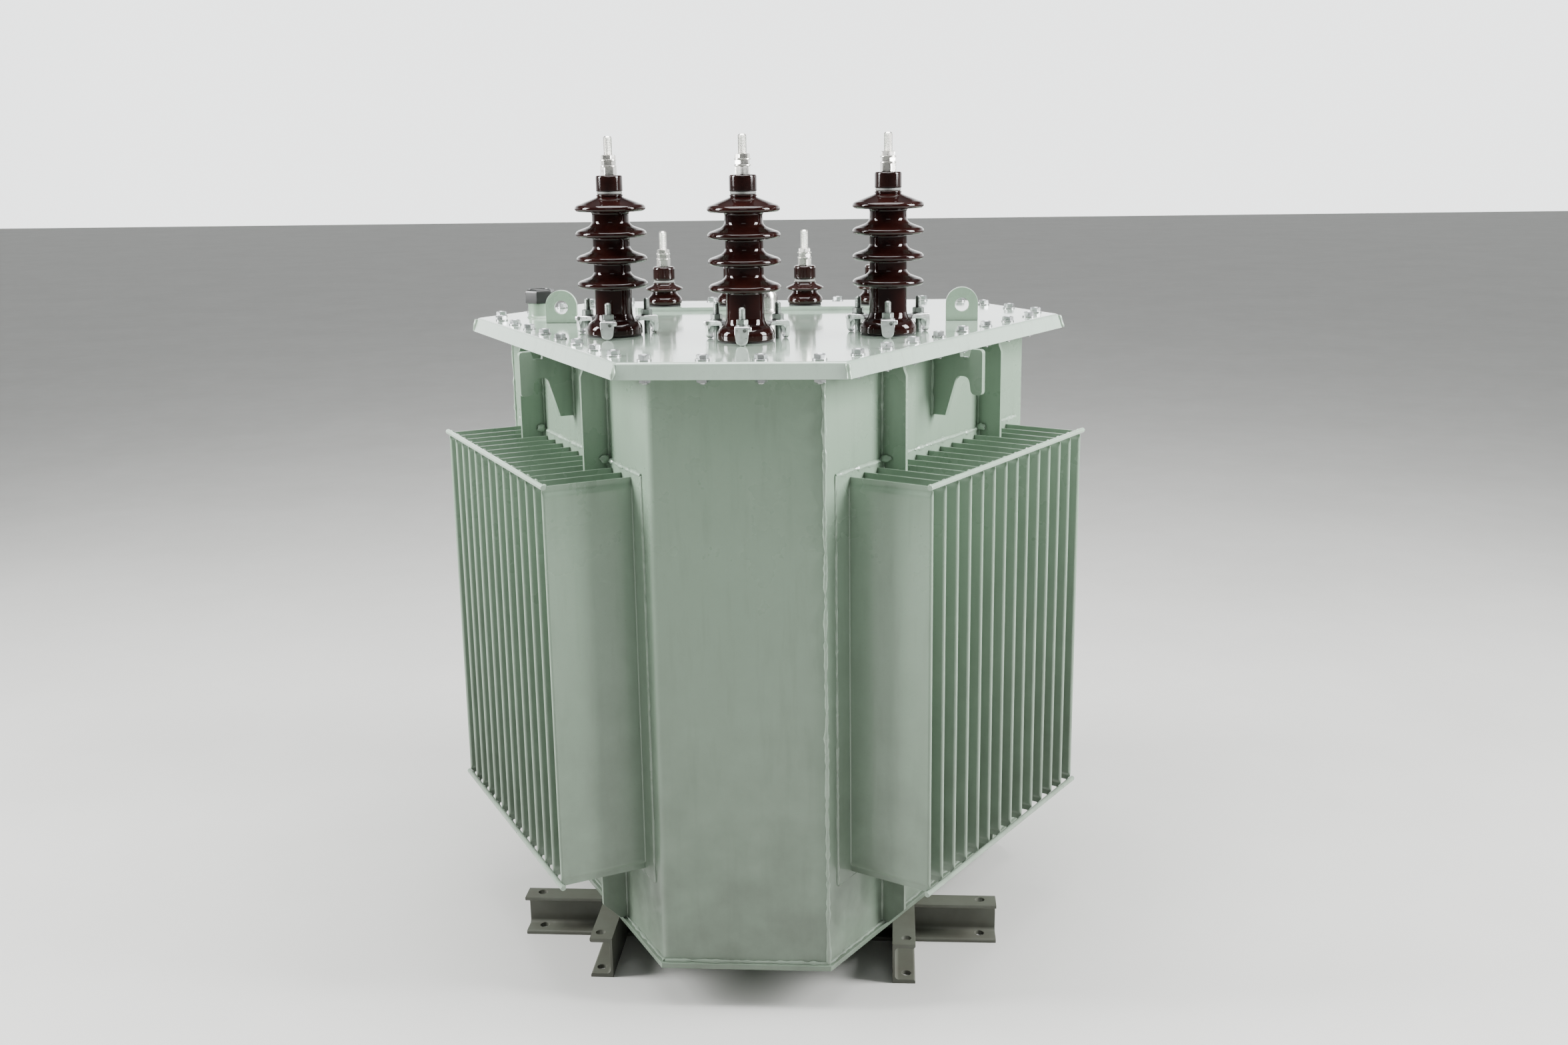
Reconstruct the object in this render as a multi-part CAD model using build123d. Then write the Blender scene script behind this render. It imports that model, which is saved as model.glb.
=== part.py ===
"""Oil-filled three-phase distribution transformer with a truncated-triangle tank.

Frame: millimetres, +Z up, origin at the centre of the base bolt rectangle on the underside of
the channels. The tank's three-fold axis is the Z axis. -Y is the front short face.
Long walls face 90, 210 and 330 degrees, short faces face 30, 150 and 270 degrees.
Everything on a long wall is built on the rear wall (+Y outward) and turned into place.
"""
from build123d import *
from math import cos, sin, radians, sqrt
import os

# ---- tank body
tank_long = 391.0           # outer apothem of the long walls
tank_short = 524.0          # outer apothem of the short faces
wall_t = 5.0
bend_r = 16.0
floor_t = 10.0
floor_lip = 9.0
flange_t = 12.0
gasket_t = 6.0
cover_t = 6.0
cover_top = 1192.0
cover_long = 455.0          # apothems at the top bend of the cover
cover_short = 581.0
skirt_t = 5.0
skirt_h = 28.0
skirt_flare = 8.0
flange_long = 447.0
flange_short = 572.5

# ---- cover bolts (M12)
bolt_long = 426.0
bolt_short = 556.0
bolts_long = 8
bolts_short = 4
pitch_long = 93.6
pitch_short = 96.1
m12_r = 6.0
m12_hole_r = 7.0
m12_af = 19.0
m12_head_h = 7.5
m12_nut_h = 10.0
m12_washer_r = 12.5
washer_t = 2.5
bolt_tail = 2.5

# ---- base frame (rolled channel 80 x 43)
channel_h = 80.0
channel_b = 43.0
channel_web = 5.0
channel_flange = 8.0
channel_x = 264.0           # outer face of each web
channel_half = 428.0
cross_half = 467.0
cross_y = 266.0             # open side of each cross channel
channel_root_r = 7.0
channel_toe_r = 4.0
base_hole_r = 9.0
base_hole_x = 290.0
base_hole_y = 402.5
cross_hole_x = 435.5
cross_hole_y = 240.5

# ---- fin banks
fin_count = 14
fin_pitch = 46.3
fin_reach = 555.5           # apothem of the fins' outer edges
fin_bottom = 242.0
fin_top = 976.5
fin_t = 9.0
fin_pinch_t = 3.6
fin_pinch_h = 16.0
fin_skin = 1.5
fin_nick = 8.0
fin_slit = 1.2              # width of the hollow where a fin's end is pinched
hollow_margin = 4.0
panel_t = 3.0
panel_half = 346.0
panel_margin = 10.0
rod_r = 5.0
rod_over = 12.0

# ---- stiffening ribs and lifting hooks on the long walls
rib_t = 8.0
rib_reach = 439.0
rib_pitches = 4
rib_low = 127.0
rib_high = 1140.0
hook_t = 12.0

# ---- lifting eyes on the cover
eye_x = 398.0
eye_y = 21.0
eye_w = 63.0
eye_h = 65.0
eye_t = 12.0
eye_hole_r = 13.5
eye_hole_z = 31.0

# ---- high-voltage bushings
hv_places = {"a": (-254.0, -197.0), "b": (0.0, -294.0), "c": (254.0, -197.0)}
hv_base_r = 52.0
hv_stem_r = 33.5
hv_shed_r = 64.0
hv_shed_z = (96.0, 142.0, 188.0, 234.0)
hv_neck_top = 258.0
hv_cap_r = 24.5
hv_cap_h = 28.5
hv_tip = 361.0
hv_tail = 70.0
hv_tail_r = 30.0
hv_hole_r = 32.0
stud_r = 8.0                # free end of each terminal stud
stud_shank_r = 7.8          # below the free end
stud_bore_r = 9.0
clamping_nut_h = 15.0
terminal_step = 10.5        # one washer and one nut
clamp_stud_pcr = 64.5       # clamp studs' circle radius about each bushing
clamp_stud_r = 5.0
clamp_w = 25.0
clamp_h = 34.0
clamp_angles = (-90.0, 30.0, 150.0)

# ---- low-voltage bushings on their plate
lv_places = {"a": -226.5, "b": -75.5, "c": 75.5, "n": 226.5}
lv_y = 277.0
lv_plate_t = 8.0
lv_plate_half = 285.0
lv_plate_front = 228.0
lv_plate_rear = 332.0
lv_neck_top = 49.0
lv_cap_r = 23.0
lv_tip = 157.0
lv_tail = 56.0
lv_tail_r = 22.0
lv_hole_r = 24.0
bushing_gasket_t = 2.0
cap_gasket_t = 5.0

# ---- relief valve
relief_x = -3.0
relief_y = 175.0
relief_r = 27.0
relief_h = 54.0
relief_seat_h = 12.0
relief_stem_r = 4.0
spring_low = cover_top - 40.0
spring_high = cover_top - 6.0

# ---- oil filler
filler_x = -465.0
filler_y = 131.0
filler_r = 25.0
filler_bore_r = 20.0
filler_h = 44.0
filler_cap_z = 30.0
filler_cap_h = 28.0
filler_cap_af = 55.0
thread_gap = 0.4

# ---- off-circuit tap changer
tap_x = -25.0
tap_y = -20.0
tap_head_r = 27.0
tap_drum_r = 34.0
tap_shaft_r = 6.0

# ---- drain valve and earth terminal on the rear short faces
drain_z = 150.0
drain_reach = 74.0
drain_bore_r = 12.0
drain_bore_depth = 18.0
drain_stem_r = 5.0
earth_z = 160.0

# ---- core and coils
leg_radius = 268.0          # leg centres from the tank axis
leg_r = 88.0
core_low = 150.0
core_high = 1010.0
yoke_h = 110.0
yoke_half_t = 75.0
coil_low = 280.0
coil_high = 880.0
lv_coil_in = 96.0
lv_coil_out = 132.0
barrier_in = 135.0
barrier_out = 139.0
hv_coil_in = 143.0
hv_coil_out = 222.0
frame_t = 10.0
tie_rod_r = 8.0
tie_rod_radius = 345.0

floor_low = channel_h
tank_low = floor_low + floor_t
flange_high = cover_top - cover_t - gasket_t
flange_low = flange_high - flange_t
skirt_low = cover_top - skirt_h
long_angles = (-30.0, 90.0, 210.0)
short_angles = (-90.0, 30.0, 150.0)
turns = {"rear": 0.0, "left": 120.0, "right": -120.0}
fins_half = (fin_count - 1) / 2 * fin_pitch
nut_stack_h = clamping_nut_h + 2 * terminal_step


# ------------------------------------------------------------------ helpers
def polar(radius, angle):
    return (radius * cos(radians(angle)), radius * sin(radians(angle)))


def corner(angle_1, apothem_1, angle_2, apothem_2):
    """Where two wall lines meet, each given by its outward normal and apothem."""
    t1 = radians(angle_1)
    t2 = radians(angle_2)
    span = sin(t2 - t1)
    x = (apothem_1 * sin(t2) - apothem_2 * sin(t1)) / span
    y = (apothem_2 * cos(t1) - apothem_1 * cos(t2)) / span
    return (x, y)


def hex_points(long_apothem, short_apothem):
    points = []
    for k in range(3):
        long_angle = long_angles[k]
        points.append(corner(long_angle - 60, short_apothem, long_angle, long_apothem))
        points.append(corner(long_angle, long_apothem, long_angle + 60, short_apothem))
    return points


def polygon(points, plane=Plane.XY):
    return plane * make_face(Polyline(*points, close=True))


def hex_prism(long_apothem, short_apothem, low, high):
    return Pos(0, 0, low) * extrude(polygon(hex_points(long_apothem, short_apothem)), high - low)


def hex_frustum(long_low, short_low, long_high, short_high, low, high):
    bottom = Pos(0, 0, low) * polygon(hex_points(long_low, short_low))
    top = Pos(0, 0, high) * polygon(hex_points(long_high, short_high))
    return loft([bottom, top])


def rod(radius, low, high, x=0.0, y=0.0):
    return Pos(x, y, low) * Cylinder(radius, high - low, align=(Align.CENTER, Align.CENTER, Align.MIN))


def ring(outer, inner, low, high, x=0.0, y=0.0):
    return rod(outer, low, high, x, y) - rod(inner, low - 1, high + 1, x, y)


def washers_under(places, outer, inner, low, thickness):
    return [ring(outer, inner, low, low + thickness, x, y) for x, y in places]


def block(x, y, z):
    """A box from three (low, high) spans."""
    size = (x[1] - x[0], y[1] - y[0], z[1] - z[0])
    return Pos(x[0], y[0], z[0]) * Box(*size, align=(Align.MIN, Align.MIN, Align.MIN))


def hex_bar(across_flats, low, high, x=0.0, y=0.0):
    outline = RegularPolygon(across_flats / sqrt(3), 6)
    return Pos(x, y, low) * extrude(outline, high - low)


def nut(across_flats, bore_r, low, high, x=0.0, y=0.0):
    """A hex nut whose corners are rounded off top and bottom by a cone."""
    blank = hex_bar(across_flats, low, high, x, y)
    height = high - low
    top_r = across_flats * 0.49
    flare = Cone(top_r + height * 1.9, top_r, height, align=(Align.CENTER, Align.CENTER, Align.MIN))
    flare = Pos(x, y, low) * flare
    return (blank & flare) - rod(bore_r, low - 1, high + 1, x, y)


def lathe(points, x=0.0, y=0.0, z=0.0):
    """Revolve a closed (radius, height) outline about a vertical axis."""
    return Pos(x, y, z) * revolve(polygon(points, Plane.XZ), Axis.Z)


def wall_plate(outline, thickness, s=0.0):
    """A plate standing out of the rear wall: outline in (apothem, height), centred at s along the wall."""
    face = Pos(s - thickness / 2, 0, 0) * polygon(outline, Plane.YZ)
    return extrude(face, thickness, dir=(1, 0, 0))


def turned(shape, angle):
    return Rot(0, 0, angle) * shape


def write(node, *solids):
    """Write one node; several solids make a group."""
    parts = []
    for item in solids:
        parts.extend(item.solids())
    shape = parts[0] if len(parts) == 1 else Compound(children=parts)
    export_step(shape, f"parts/{node}.step")


def bolt_places():
    places = []
    for k in range(3):
        for i in range(bolts_long):
            s = (i - (bolts_long - 1) / 2) * pitch_long
            places.append(wall_point(long_angles[k], bolt_long, s))
        for i in range(bolts_short):
            s = (i - (bolts_short - 1) / 2) * pitch_short
            places.append(wall_point(short_angles[k], bolt_short, s))
    return places


def wall_point(angle, apothem, s):
    """The point at apothem along a face's normal and s along the face."""
    nx, ny = polar(1.0, angle)
    return (apothem * nx + s * ny, apothem * ny - s * nx)


# ------------------------------------------------------------------ base frame
def channel(length):
    """A rolled channel lying along Y, the back of its web at x = 0 and its flanges towards +X."""
    high = channel_h - channel_flange
    outline = [
        (0, 0),
        (channel_b, 0),
        (channel_b, channel_flange),
        (channel_web, channel_flange),
        (channel_web, high),
        (channel_b, high),
        (channel_b, channel_h),
        (0, channel_h),
    ]
    section = polygon(outline, Plane.XZ)
    roots = [v for v in section.vertices() if abs(v.X - channel_web) < 1]
    section = fillet(roots, channel_root_r)
    toes = [v for v in section.vertices() if v.X > channel_b - 1 and channel_flange - 1 < v.Z < high + 1]
    section = fillet(toes, channel_toe_r)
    return extrude(section, length, dir=(0, 1, 0))


def drilled(body, places):
    for x, y in places:
        body = body - rod(base_hole_r, -1, channel_h + 1, x, y)
    return body


def longitudinal(side):
    beam = Pos(channel_x, -channel_half, 0) * channel(2 * channel_half)
    beam = drilled(beam, [(base_hole_x, -base_hole_y), (base_hole_x, base_hole_y)])
    return beam if side > 0 else mirror(beam, Plane.YZ)


def cross_members(side):
    """Two stubs outside the longitudinals and a length between them, open side outward."""
    stub = turned(channel(cross_half - channel_x - channel_b), -90)
    middle = turned(channel(2 * channel_x), -90)
    # turned by -90 degrees the web's back faces +Y and the flanges reach towards -Y
    pieces = []
    low_x = channel_x + channel_b
    for start, piece in ((low_x, stub), (-cross_half, stub), (-channel_x, middle)):
        placed = Pos(start, -cross_y + channel_b, 0) * piece
        pieces.append(drilled(placed, [(-cross_hole_x, -cross_hole_y), (cross_hole_x, -cross_hole_y)]))
    if side > 0:
        pieces = [mirror(piece, Plane.XZ) for piece in pieces]
    return pieces


# ------------------------------------------------------------------ tank
def tank_floor():
    return hex_prism(tank_long + floor_lip, tank_short + floor_lip, floor_low, tank_low)


def tank_sheet():
    """One folded sheet: the front short face, a bend, and the long wall on its left."""
    left_end = corner(210, tank_long, 150, tank_short)
    bend = corner(210, tank_long, 270, tank_short)
    right_end = corner(270, tank_short, 330, tank_long)
    inner_long = tank_long - wall_t
    inner_short = tank_short - wall_t
    left_in = corner(210, inner_long, 150, inner_short)
    bend_in = corner(210, inner_long, 270, inner_short)
    right_in = corner(270, inner_short, 330, inner_long)
    section = polygon([left_end, bend, right_end, right_in, bend_in, left_in])
    outer = section.vertices().sort_by_distance((bend[0], bend[1], 0))[0]
    section = fillet([outer], bend_r)
    inner = section.vertices().sort_by_distance((bend_in[0], bend_in[1], 0))[0]
    section = fillet([inner], bend_r - wall_t)
    sheet = Pos(0, 0, tank_low) * extrude(section, flange_high - tank_low)
    window = block(
        (-fins_half - fin_t, fins_half + fin_t),
        (tank_long - wall_t - 10, tank_long + 10),
        (fin_bottom + fin_pinch_h, fin_top - fin_pinch_h),
    )
    return sheet - turned(window, turns["left"])


def bolt_holes(body, radius, low, high):
    holes = [rod(radius, low, high, x, y) for x, y in bolt_places()]
    return body - holes


def tank_flange():
    outer = hex_prism(flange_long, flange_short, flange_low, flange_high)
    body = outer - hex_prism(tank_long, tank_short, flange_low - 1, flange_high + 1)
    return bolt_holes(body, m12_hole_r, flange_low - 1, flange_high + 1)


# ------------------------------------------------------------------ fin banks
def fin_outline(half_t, half_pinch, low, high):
    return [
        (-half_pinch, low),
        (half_pinch, low),
        (half_t, low + fin_pinch_h),
        (half_t, high - fin_pinch_h),
        (half_pinch, high),
        (-half_pinch, high),
        (-half_t, high - fin_pinch_h),
        (-half_t, low + fin_pinch_h),
    ]


def fin_blank(outline, start, end):
    face = Pos(0, start, 0) * polygon(outline, Plane.XZ)
    return extrude(face, end - start, dir=(0, 1, 0))


def fin_bank():
    """A slotted panel and its hollow fins, their ends pinched flat and outer corners nicked for the rods."""
    panel_face = tank_long + panel_t
    panel = block(
        (-panel_half, panel_half),
        (tank_long, panel_face),
        (fin_bottom - panel_margin, fin_top + panel_margin),
    )
    fin = fin_blank(fin_outline(fin_t / 2, fin_pinch_t / 2, fin_bottom, fin_top), panel_face, fin_reach)
    for z in (fin_bottom, fin_top):
        nick = Pos(0, fin_reach, z) * Rot(45, 0, 0) * Box(fin_t * 2, fin_nick * sqrt(2), fin_nick * sqrt(2))
        fin = fin - nick
    hollow_low = fin_bottom + fin_pinch_h - hollow_margin
    hollow_high = fin_top - fin_pinch_h + hollow_margin
    hollow = fin_blank(
        fin_outline(fin_t / 2 - fin_skin, fin_slit / 2, hollow_low, hollow_high),
        tank_long - 1,
        fin_reach - fin_skin,
    )
    fin = fin - hollow
    places = [(i - (fin_count - 1) / 2) * fin_pitch for i in range(fin_count)]
    panel = panel - [Pos(s, 0, 0) * hollow for s in places]
    return [panel] + [Pos(s, 0, 0) * fin for s in places]


def tie_rods():
    length = 2 * (fins_half + rod_over)
    rods = []
    for angle in turns.values():
        for z in (fin_bottom, fin_top):
            bar = Pos(0, fin_reach - 0.4, z) * Rot(0, 90, 0) * Cylinder(rod_r, length)
            rods.append(turned(bar, angle))
    return rods


def ribs():
    """Full-height flat bars, stepped back where they cross a fin bank's panel."""
    face = tank_long
    over = tank_long + panel_t
    outline = [
        (face, tank_low + 2),
        (rib_reach - 34, tank_low + 2),
        (rib_reach, rib_low),
        (rib_reach, rib_high),
        (rib_reach - 5, rib_high + 12),
        (rib_reach - 5, flange_low),
        (face, flange_low),
        (face, fin_top + panel_margin),
        (over, fin_top + panel_margin),
        (over, fin_bottom - panel_margin),
        (face, fin_bottom - panel_margin),
    ]
    bars = []
    for angle in turns.values():
        for side in (-1, 1):
            bar = wall_plate(outline, rib_t, side * rib_pitches * fin_pitch)
            bars.append(turned(bar, angle))
    return bars


def lifting_hook():
    """A hook plate whose throat opens downward, notched on top for the cover's skirt."""
    outline = [
        (tank_long, 1042),
        (419, 1042),
        (441, 1106),
        (446, 1112),
        (453, 1113),
        (459, 1109),
        (466, 1093),
        (472, 1087),
        (481, 1085),
        (489, 1088),
        (493, 1095),
        (493, 1159),
        (485, 1167),
        (468, 1167),
        (463, 1152),
        (449, 1152),
        (446, flange_low),
        (tank_long, flange_low),
    ]
    return wall_plate(outline, hook_t)


# ------------------------------------------------------------------ cover
def cover_plate():
    shell = hex_frustum(
        cover_long + skirt_flare, cover_short + skirt_flare, cover_long, cover_short, skirt_low, cover_top
    )
    rim = [e for e in shell.edges() if e.center().Z > cover_top - 0.1]
    shell = fillet(rim, 5.0)
    inner_long = cover_long - skirt_t
    inner_short = cover_short - skirt_t
    hollow = hex_frustum(
        inner_long + skirt_flare, inner_short + skirt_flare, inner_long + 2, inner_short + 2,
        skirt_low, cover_top - cover_t,
    )
    body = bolt_holes(shell - hollow, m12_hole_r, skirt_low, cover_top + 1)
    holes = [rod(hv_hole_r, skirt_low, cover_top + 1, x, y) for x, y in hv_places.values()]
    holes += [rod(lv_hole_r + 4, skirt_low, cover_top + 1, x, lv_y) for x in lv_places.values()]
    holes += [rod(clamp_stud_r + 0.05, skirt_low, cover_top + 1, x, y) for x, y in clamp_stud_places()]
    holes.append(rod(relief_r - 8, skirt_low, cover_top + 1, relief_x, relief_y))
    holes.append(rod(filler_bore_r, skirt_low, cover_top + 1, filler_x, filler_y))
    holes.append(rod(tap_head_r - 7, skirt_low, cover_top + 1, tap_x, tap_y))
    return body - holes


def cover_gasket():
    low = flange_high
    high = flange_high + gasket_t
    outer = hex_prism(flange_long - 1, flange_short - 1, low, high)
    body = outer - hex_prism(tank_long - wall_t, tank_short - wall_t, low - 1, high + 1)
    return bolt_holes(body, m12_hole_r, low - 1, high + 1)


def cover_bolt(x, y):
    head_low = cover_top + washer_t
    tail = flange_low - washer_t - m12_nut_h - bolt_tail
    head = nut(m12_af, m12_r - 2, head_low, head_low + m12_head_h, x, y)
    return head + rod(m12_r, tail, head_low + m12_head_h - 0.8, x, y)


def cover_nut_set(x, y):
    nut_high = flange_low - washer_t
    return [
        ring(m12_washer_r, m12_r + 0.5, cover_top, cover_top + washer_t, x, y),
        ring(m12_washer_r, m12_r + 0.5, nut_high, flange_low, x, y),
        nut(m12_af, m12_r + 0.05, nut_high - m12_nut_h, nut_high, x, y),
    ]


def lifting_eye(side):
    """A plate with a round top and a shackle hole, standing across the front-back line."""
    half = eye_w / 2
    crown = Pos(0, 0, eye_h - half) * Rot(90, 0, 0) * Cylinder(half, eye_t)
    stem = block((-half, half), (-eye_t / 2, eye_t / 2), (0, eye_h - half))
    hole = Pos(0, 0, eye_hole_z) * Rot(90, 0, 0) * Cylinder(eye_hole_r, eye_t + 2)
    return Pos(side * eye_x, eye_y, cover_top) * (crown + stem - hole)


# ------------------------------------------------------------------ high-voltage bushings
def hv_porcelain(x, y):
    """Glazed porcelain: flanged base, plain stem, four sheds, neck, and a tail under the cover."""
    outline = [(stud_bore_r, -hv_tail), (hv_tail_r, -hv_tail), (hv_tail_r, bushing_gasket_t)]
    outline += [(hv_base_r - 2, bushing_gasket_t), (hv_base_r, bushing_gasket_t + 2), (hv_base_r, 19)]
    outline += [(hv_base_r - 4, 24), (hv_stem_r + 5, 25), (hv_stem_r + 2, 31)]
    for z in hv_shed_z:
        outline += [(hv_stem_r + 1.5, z - 6), (hv_shed_r - 3, z - 4.5), (hv_shed_r, z - 1.5)]
        outline += [(hv_shed_r - 1, z + 1), (hv_shed_r - 14, z + 5)]
        outline += [(hv_stem_r + 6, z + 11), (hv_stem_r, z + 19)]
    outline[-1] = (hv_stem_r - 10, hv_shed_z[-1] + 16)
    outline += [(hv_stem_r - 11.5, hv_neck_top), (stud_bore_r, hv_neck_top)]
    return lathe(outline, x, y, cover_top)


def hv_cap(x, y):
    low = cover_top + hv_neck_top + cap_gasket_t
    body = rod(hv_cap_r, low, low + hv_cap_h, x, y)
    rim = [e for e in body.edges() if e.geom_type == GeomType.CIRCLE]
    return fillet(rim, 2.5) - rod(stud_bore_r, low - 1, low + hv_cap_h + 1, x, y)


def terminal_stud(x, y, low, free_low, tip):
    body = rod(stud_shank_r, low, free_low, x, y) + rod(stud_r, free_low, tip, x, y)
    top = [e for e in body.edges() if e.center().Z > tip - 0.1]
    return chamfer(top, 1.5)


def terminal_nuts(x, y, low):
    """A clamping nut, then two washers and two nuts that hold a cable lug."""
    bore = stud_r + 0.05
    first = low + clamping_nut_h
    second = first + terminal_step
    return [
        nut(26.0, bore, low, first, x, y),
        ring(15.0, stud_r + 0.5, first, first + washer_t, x, y),
        nut(24.0, bore, first + washer_t, second, x, y),
        ring(15.0, stud_r + 0.5, second, second + washer_t, x, y),
        nut(24.0, bore, second + washer_t, second + terminal_step, x, y),
    ]


def clamp_stud_places():
    places = []
    for x, y in hv_places.values():
        for angle in clamp_angles:
            dx, dy = polar(clamp_stud_pcr, angle)
            places.append((x + dx, y + dy))
    return places


def hv_clamp(x, y, angle):
    """A cast clamp: a leg on the cover outside its stud and a toe on the porcelain's shoulder."""
    outline = [
        (42, 25.6),
        (47, 25.6),
        (53.5, 24.5),
        (58, 24.0),
        (70, 23.5),
        (74, 14),
        (75, 0),
        (83, 0),
        (83.5, 8),
        (81.5, 26),
        (77, clamp_h),
        (48, clamp_h),
        (43, 31),
    ]
    arm = extrude(Pos(0, clamp_w / 2, 0) * polygon(outline, Plane.XZ), clamp_w, dir=(0, -1, 0))
    arm = arm - rod(clamp_stud_r + 0.5, -1, clamp_h + 1, clamp_stud_pcr, 0)
    return Pos(x, y, cover_top) * turned(arm, angle)


def clamp_fasteners(x, y):
    top = cover_top + clamp_h
    return [
        rod(clamp_stud_r, cover_top - cover_t - 8, cover_top + 66, x, y),
        ring(10.0, clamp_stud_r + 0.5, top, top + 2, x, y),
        nut(17.0, clamp_stud_r + 0.05, top + 2, top + 11, x, y),
    ]


# ------------------------------------------------------------------ low-voltage bushings
def lv_mounting_plate():
    top = cover_top + lv_plate_t
    body = block((-lv_plate_half, lv_plate_half), (lv_plate_front, lv_plate_rear), (cover_top, top))
    corners = body.edges().filter_by(Axis.Z)
    body = fillet(corners, 12.0)
    holes = [rod(lv_hole_r, cover_top - 1, top + 1, x, lv_y) for x in lv_places.values()]
    return body - holes


def lv_porcelain(x):
    outline = [
        (stud_bore_r, -lv_tail),
        (lv_tail_r, -lv_tail),
        (lv_tail_r, bushing_gasket_t),
        (35, bushing_gasket_t),
        (38, 5),
        (38.5, 9),
        (36, 15),
        (30, 21),
        (26.5, 27),
        (26, 32),
        (37, 34),
        (39.5, 36.5),
        (38, 39),
        (30, 42),
        (23, 46),
        (21, lv_neck_top),
        (stud_bore_r, lv_neck_top),
    ]
    return lathe(outline, x, lv_y, cover_top + lv_plate_t)


def lv_cap(x):
    low = cover_top + lv_plate_t + lv_neck_top + cap_gasket_t
    body = rod(lv_cap_r, low, low + hv_cap_h, x, lv_y)
    rim = [e for e in body.edges() if e.geom_type == GeomType.CIRCLE]
    return fillet(rim, 2.5) - rod(stud_bore_r, low - 1, low + hv_cap_h + 1, x, lv_y)


# ------------------------------------------------------------------ relief valve, filler, tap changer
def relief_body():
    """A threaded seat ring with a spider that guides the valve stem."""
    top = cover_top + relief_seat_h
    seat = ring(relief_r - 4, relief_r - 9, cover_top, top, relief_x, relief_y)
    base = ring(relief_r + 3, relief_r - 9, cover_top, cover_top + 4, relief_x, relief_y)
    socket = ring(relief_r - 8.5, relief_r - 11.5, cover_top - 16, top, relief_x, relief_y)
    low = cover_top - 6
    hub = rod(relief_stem_r + 4, low, low + 6, relief_x, relief_y)
    span = 2 * relief_r - 22
    body = seat + base + socket + hub
    for size in ((span, 5, 6), (5, span, 6)):
        body = body + Pos(relief_x, relief_y, low + 3) * Box(*size)
    return body - rod(relief_stem_r + 0.3, low - 1, low + 7, relief_x, relief_y)


def relief_cap():
    """A domed hood with a stem down through the seat and a collar under the spring."""
    low = cover_top + 4.5
    top = cover_top + relief_h
    hood = rod(relief_r, low, top, relief_x, relief_y)
    crown = [e for e in hood.edges() if e.center().Z > top - 0.1]
    hood = fillet(crown, 17.0)
    inner = rod(relief_r - 2.5, low - 1, cover_top + relief_seat_h + 10, relief_x, relief_y)
    pad = rod(relief_r - 4, cover_top + relief_seat_h, cover_top + relief_seat_h + 11, relief_x, relief_y)
    stem = rod(relief_stem_r, cover_top - 44, cover_top + relief_seat_h + 2, relief_x, relief_y)
    collar = rod(relief_stem_r + 7, cover_top - 44, cover_top - 40, relief_x, relief_y)
    return (hood - inner) + pad + stem + collar


def relief_spring():
    """The closed length of the spring between the spider and the stem's collar."""
    pitch = 6.8
    path = Helix(pitch, spring_high - spring_low - 2.4, relief_stem_r + 4.0)
    start = path @ 0
    wire = sweep(Plane(origin=start, z_dir=path % 0) * Circle(1.1), path)
    return Pos(relief_x, relief_y, spring_low + 1.2) * wire


def filler_neck():
    low = cover_top - cover_t - 8
    top = cover_top + filler_h
    tube = ring(filler_r, filler_bore_r - 0.5, cover_top, top, filler_x, filler_y)
    spigot = ring(filler_bore_r - 0.05, filler_bore_r - 3, low, top, filler_x, filler_y)
    return tube + spigot


def filler_gasket():
    low = cover_top + filler_h
    return ring(filler_r - 0.5, filler_bore_r - 3, low, low + 3, filler_x, filler_y)


def filler_cap():
    low = cover_top + filler_cap_z
    top = low + filler_cap_h
    body = nut(filler_cap_af, 1.0, low, top, filler_x, filler_y) + rod(2.0, low, top, filler_x, filler_y)
    return body - rod(filler_r + thread_gap, low - 1, cover_top + filler_h + 3, filler_x, filler_y)


def tap_changer_body():
    """A flange on the cover, a tube below it, and a contact drum in the oil."""
    bore = tap_shaft_r + 0.08
    flange = rod(tap_head_r + 6, cover_top, cover_top + 8, tap_x, tap_y)
    tube = rod(tap_head_r - 8, cover_top - 62, cover_top + 8, tap_x, tap_y)
    drum = rod(tap_drum_r, cover_top - 127, cover_top - 62, tap_x, tap_y)
    return flange + tube + drum - rod(bore, cover_top - 120, cover_top + 9, tap_x, tap_y)


def tap_changer_handle():
    """A knob with a grip bar on a shaft that turns the drum's contacts."""
    low = cover_top + 8.3
    knob = rod(tap_head_r, low, low + 12, tap_x, tap_y)
    grip = Pos(tap_x, tap_y, low + 20) * Box(46, 12, 20)
    shaft = rod(tap_shaft_r, cover_top - 110, low + 1, tap_x, tap_y)
    return fillet(knob.edges().filter_by(GeomType.CIRCLE), 2.0) + grip + shaft


# ------------------------------------------------------------------ drain valve, earth terminal, rating plate
def drain_body():
    """A gate valve block on the left rear short face, its outlet facing outward."""
    along = Rot(0, 90, 0)
    stem_x = drain_reach / 2
    body = along * rod(30, 0, 10) + along * rod(20, 0, drain_reach) + rod(14, 0, 40, stem_x)
    body = body - along * rod(drain_bore_r, drain_reach - drain_bore_depth, drain_reach + 1)
    body = body - rod(drain_stem_r + 0.08, 22, 41, stem_x)
    return placed_on_short(body, 150, drain_z)


def drain_wheel():
    x = drain_reach / 2
    rim = Pos(x, 0, 54) * Torus(26, 4)
    spokes = Pos(x, 0, 54) * Box(52, 6, 5) + Pos(x, 0, 54) * Box(6, 52, 5)
    stem = rod(drain_stem_r, 24, 58, x) + rod(9.0, 50, 58, x)
    return placed_on_short(rim + spokes + stem, 150, drain_z)


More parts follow.
